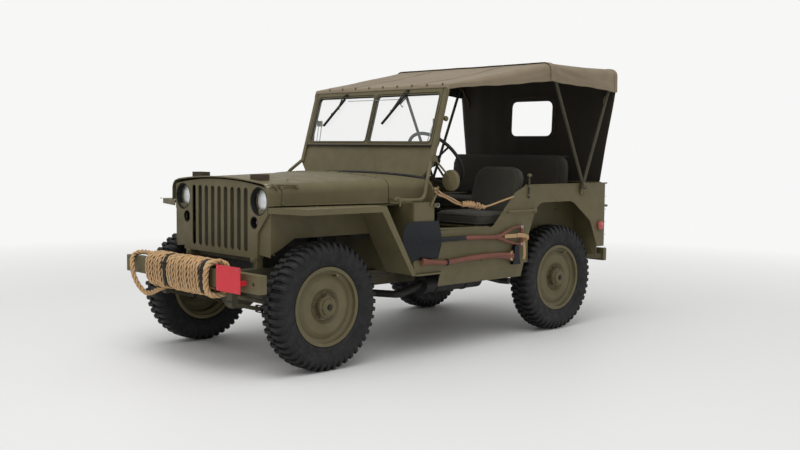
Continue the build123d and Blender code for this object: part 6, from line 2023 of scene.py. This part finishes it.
def make_underbody():
    maker = Maker("dark_olive")
    for way in (-1, 1):
        axle_y = AXLE_Y * way
        foot_y, head_y = (axle_y + 56, axle_y + 110) if way < 0 else (axle_y - 70, axle_y - 130)
        for side in (LEFT, RIGHT):
            spring_dress(maker, side, axle_y)
            foot, head = at(side * 402, foot_y, 330), at(side * 386, head_y, 470)
            damper = [(0, 21), (120, 21), (122, 26), (190, 26), (192, 12), (192, 0)]
            maker.turned(damper, foot, (head - foot).normalized(), 16, "olive")
            for end in (foot, head):
                maker.tube([end - X * 0.022, end + X * 0.022], 16, 12, "rubber")
        # cover of the axle's round housing
        housing = at(-170, axle_y, AXLE_Z)
        for a in round_turn(10):
            maker.bolt(housing + Y * way * 0.066 + spoke(a, X, Z) * 0.092, Y * way, 7.5)
        lip = [(62, 80), (62, 106), (70, 104), (74, 80)]
        ring_piece(maker, lip, housing, Y * way, 28, "dark_olive")
        maker.turned([(70, 104), (82, 90), (100, 50), (104, 0)], housing, Y * way, 28, "dark_olive")
    for y in (-60, 200):
        ring_piece(maker, [(0, 61), (0, 65), (20, 65), (20, 61)], at(520, y, 395), Y, 24, "dark_iron")
    for x in (-600, -300, 300, 600):
        maker.tube([at(x, 480, 489), at(x, 1000, 489)], 8, 8, "olive")
    for y in (-700, -100, 500, 1200):
        for side in (LEFT, RIGHT):
            maker.rivet(at(side * RAIL_SIDE, y, 460), X * side, 7)
            maker.rivet(at(side * RAIL_SIDE, y, 410), X * side, 7)
    pipe = bent(((300, -900, 420), (365, -500, 452), (365, 300, 452), (330, 900, 420)), 6)
    maker.tube(pipe, 3.5, 6, "steel")
    piece("underbody_details", maker)


# ---- rear ---------------------------------------------------------------------------------------
def make_rear_fittings():
    maker = Maker("olive")
    for side in (LEFT, RIGHT):
        lamp = at(side * 610, 1557, 930)
        ring_piece(maker, [(0, 28), (0, 36.2), (5, 36.2), (7, 28)], lamp - Y * 0.002, Y, 28, "black_paint")
        maker.turned([(0, 28.5), (3, 26), (5, 12), (5.5, 0)], lamp, Y, 24, "red_lens")
        lamp = at(side * 610, 1529, 700)
        maker.turned([(0, 31), (3, 28), (5, 14), (6, 0)], lamp, Y, 24, "red_lens")
        ring_piece(maker, [(0, 29), (0, 34.5), (4, 34.5), (5, 29)], lamp - Y * 0.002, Y, 28, "olive")
        for x in (545, 660):
            pad = at(side * x, REAR_FACE, 830)
            maker.turned([(0, 21), (3, 21), (4, 18), (4, 0)], pad, Y, 18)
        for z in (600, 780, 960):
            maker.rivet(at(side * 690, REAR_FACE, z), Y, 4)
        wire = bent(((side * 566, 1515, 640), (side * 560, 1527, 660), (side * 540, 1515, 700)), 3)
        maker.tube(wire, 4, 8, "black_grip")
    latch = [(0, 14), (50, 14), (52, 20), (58, 20), (60, 10), (60, 0)]
    maker.turned(latch, at(-30, 1662, 460), X, 14, "dark_iron")
    for x in (-42, 42):
        for z in (424, 470):
            maker.bolt(at(x, 1542, z), Y, 8.5)
    for x in (-260, -70):
        for z in (760, 940):
            maker.bolt(at(x, 1523, z), Y, 8)
    for x in (-500, -380, 60, 240, 420, 560):
        maker.rivet(at(x, REAR_FACE, 968), Y, 4.2)
        maker.rivet(at(x, REAR_FACE, 560), Y, 4.2)
    maker.tube([at(x, 1513, 998) for x in (-660, -300, 0, 300, 660)], 4.5, 8)
    for x in (330, 470, 610):
        for side in (LEFT, RIGHT):
            maker.bolt(at(side * x, 1625, 475), Y, 7.5)
    piece("rear_fittings", maker)
    glass = Maker("bright")
    place = at(700, -75.5, 1037)
    glass.turned([(0, 59), (1.5, 58.5), (1.5, 0)], place, Y, 40, "bright")
    ring_piece(glass, [(-2, 59), (-2, 64.5), (4, 64.5), (4, 59)], place, Y, 40, "olive")
    glass.turned([(0, 63.5), (3, 61.5), (7, 40), (9, 15), (9.5, 0)], at(700, -90, 1037), -Y, 40, "olive")
    glass.bolt(at(700, -99, 1037), -Y, 6, "olive", washer=False)
    piece("mirror_glass", glass)


# ---- operators ----------------------------------------------------------------------------------
class ARMY_CAR_OT_stage(bpy.types.Operator):
    """Set up the camera, the pale floor and the soft light"""

    bl_idname = "army_car.stage"
    bl_label = "Stage"

    def execute(self, context):
        stage = context.scene.car_stage
        context.scene.view_settings.view_transform = "Standard"
        make_camera(stage.lens)
        make_sky(stage.sky)
        make_floor(stage.floor)
        make_light("soft_box", (1.5, -2.5, 7.5), (0, 0, 0.8), 6.0, stage.key)
        return {"FINISHED"}


class ARMY_CAR_OT_finishes(bpy.types.Operator):
    """Make the paint, canvas, rubber, wood and metal finishes and put them on the frame's own parts"""

    bl_idname = "army_car.finishes"
    bl_label = "Finishes"

    def execute(self, context):
        make_finishes()
        finish_cad_nodes()
        return {"FINISHED"}


class ARMY_CAR_OT_rope(bpy.types.Operator):
    """Wind the tow rope on the front bumper"""

    bl_idname = "army_car.rope"
    bl_label = "Tow Rope"

    def execute(self, context):
        make_rope()
        return {"FINISHED"}


class ARMY_CAR_OT_tyres(bpy.types.Operator):
    """Make the bar-tread tyres"""

    bl_idname = "army_car.tyres"
    bl_label = "Tyres"

    def execute(self, context):
        make_tyres()
        return {"FINISHED"}


class ARMY_CAR_OT_canvas(bpy.types.Operator):
    """Stretch the canvas top and hang the rear curtain"""

    bl_idname = "army_car.canvas"
    bl_label = "Canvas Top"

    def execute(self, context):
        make_roof()
        make_curtain()
        return {"FINISHED"}


class ARMY_CAR_OT_cushions(bpy.types.Operator):
    """Stuff and sew the seat cushions"""

    bl_idname = "army_car.cushions"
    bl_label = "Cushions"

    def execute(self, context):
        make_cushions()
        return {"FINISHED"}


class ARMY_CAR_OT_lamps(bpy.types.Operator):
    """Fit the headlamps and marker lamps"""

    bl_idname = "army_car.lamps"
    bl_label = "Lamps"

    def execute(self, context):
        make_lamps()
        return {"FINISHED"}


class ARMY_CAR_OT_screen(bpy.types.Operator):
    """Fit the wipers, seals and post fittings"""

    bl_idname = "army_car.screen"
    bl_label = "Windscreen Fittings"

    def execute(self, context):
        make_screen_fittings()
        return {"FINISHED"}


class ARMY_CAR_OT_hood(bpy.types.Operator):
    """Fit the hood catches, hinge and beads"""

    bl_idname = "army_car.hood"
    bl_label = "Hood Fittings"

    def execute(self, context):
        make_hood_fittings()
        return {"FINISHED"}


class ARMY_CAR_OT_front(bpy.types.Operator):
    """Fit the tow hooks and the bolts of the bumper and fenders"""

    bl_idname = "army_car.front"
    bl_label = "Front Fittings"

    def execute(self, context):
        make_front_fittings()
        return {"FINISHED"}


class ARMY_CAR_OT_sides(bpy.types.Operator):
    """Fit the posts, catches, reflectors and rivets of both sides"""

    bl_idname = "army_car.sides"
    bl_label = "Side Fittings"

    def execute(self, context):
        make_side_fittings()
        make_door_strap()
        return {"FINISHED"}


class ARMY_CAR_OT_tools(bpy.types.Operator):
    """Dress the shovel and the axe and strap them down"""

    bl_idname = "army_car.tools"
    bl_label = "Tools"

    def execute(self, context):
        make_shovel()
        make_axe()
        return {"FINISHED"}


class ARMY_CAR_OT_wheels(bpy.types.Operator):
    """Fit the wheel nuts, hubs and valves"""

    bl_idname = "army_car.wheels"
    bl_label = "Wheel Fittings"

    def execute(self, context):
        make_wheel_fittings()
        return {"FINISHED"}


class ARMY_CAR_OT_cab(bpy.types.Operator):
    """Fit the dials, levers and pedals"""

    bl_idname = "army_car.cab"
    bl_label = "Cab Fittings"

    def execute(self, context):
        make_dash()
        make_controls()
        return {"FINISHED"}


class ARMY_CAR_OT_engine(bpy.types.Operator):
    """Dress the engine and its bay"""

    bl_idname = "army_car.engine"
    bl_label = "Engine Details"

    def execute(self, context):
        make_engine()
        return {"FINISHED"}


class ARMY_CAR_OT_underbody(bpy.types.Operator):
    """Dress the springs, dampers, axles and the thin pipe along the frame"""

    bl_idname = "army_car.underbody"
    bl_label = "Underbody"

    def execute(self, context):
        make_underbody()
        return {"FINISHED"}


class ARMY_CAR_OT_rear(bpy.types.Operator):
    """Fit the rear lamps, bolts and mirror glass"""

    bl_idname = "army_car.rear"
    bl_label = "Rear Fittings"

    def execute(self, context):
        make_rear_fittings()
        return {"FINISHED"}


OPERATORS = (
    ARMY_CAR_OT_stage,
    ARMY_CAR_OT_finishes,
    ARMY_CAR_OT_rope,
    ARMY_CAR_OT_tyres,
    ARMY_CAR_OT_canvas,
    ARMY_CAR_OT_cushions,
    ARMY_CAR_OT_lamps,
    ARMY_CAR_OT_screen,
    ARMY_CAR_OT_hood,
    ARMY_CAR_OT_front,
    ARMY_CAR_OT_sides,
    ARMY_CAR_OT_tools,
    ARMY_CAR_OT_wheels,
    ARMY_CAR_OT_cab,
    ARMY_CAR_OT_engine,
    ARMY_CAR_OT_underbody,
    ARMY_CAR_OT_rear,
)


class ARMY_CAR_PT_panel(bpy.types.Panel):
    """The car's pieces, in the order they are made"""

    bl_idname = "ARMY_CAR_PT_panel"
    bl_label = "Army 4x4 Car"
    bl_space_type = "VIEW_3D"
    bl_region_type = "UI"
    bl_category = "Army Car"

    def draw(self, context):
        for operator in OPERATORS:
            self.layout.operator(operator.bl_idname)
        for group in (context.scene.car_colours, context.scene.car_sizes, context.scene.car_stage):
            box = self.layout.box()
            for name in group.__annotations__:
                box.prop(group, name)


CLASSES = (CarColours, CarSizes, CarStage, *OPERATORS, ARMY_CAR_PT_panel)


def register():
    for cls in CLASSES:
        bpy.utils.register_class(cls)
    bpy.types.Scene.car_colours = PointerProperty(type=CarColours)
    bpy.types.Scene.car_sizes = PointerProperty(type=CarSizes)
    bpy.types.Scene.car_stage = PointerProperty(type=CarStage)


def unregister():
    del bpy.types.Scene.car_stage
    del bpy.types.Scene.car_sizes
    del bpy.types.Scene.car_colours
    for cls in reversed(CLASSES):
        bpy.utils.unregister_class(cls)


def main():
    register()
    for operator in OPERATORS:
        family, name = operator.bl_idname.split(".")
        getattr(getattr(bpy.ops, family), name)()
    boxes = {"cad": CAD_BOX, "visual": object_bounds()}
    {name: [list(corner) for corner in box] for name, box in boxes.items()}


if __name__ == "__main__":
    main()
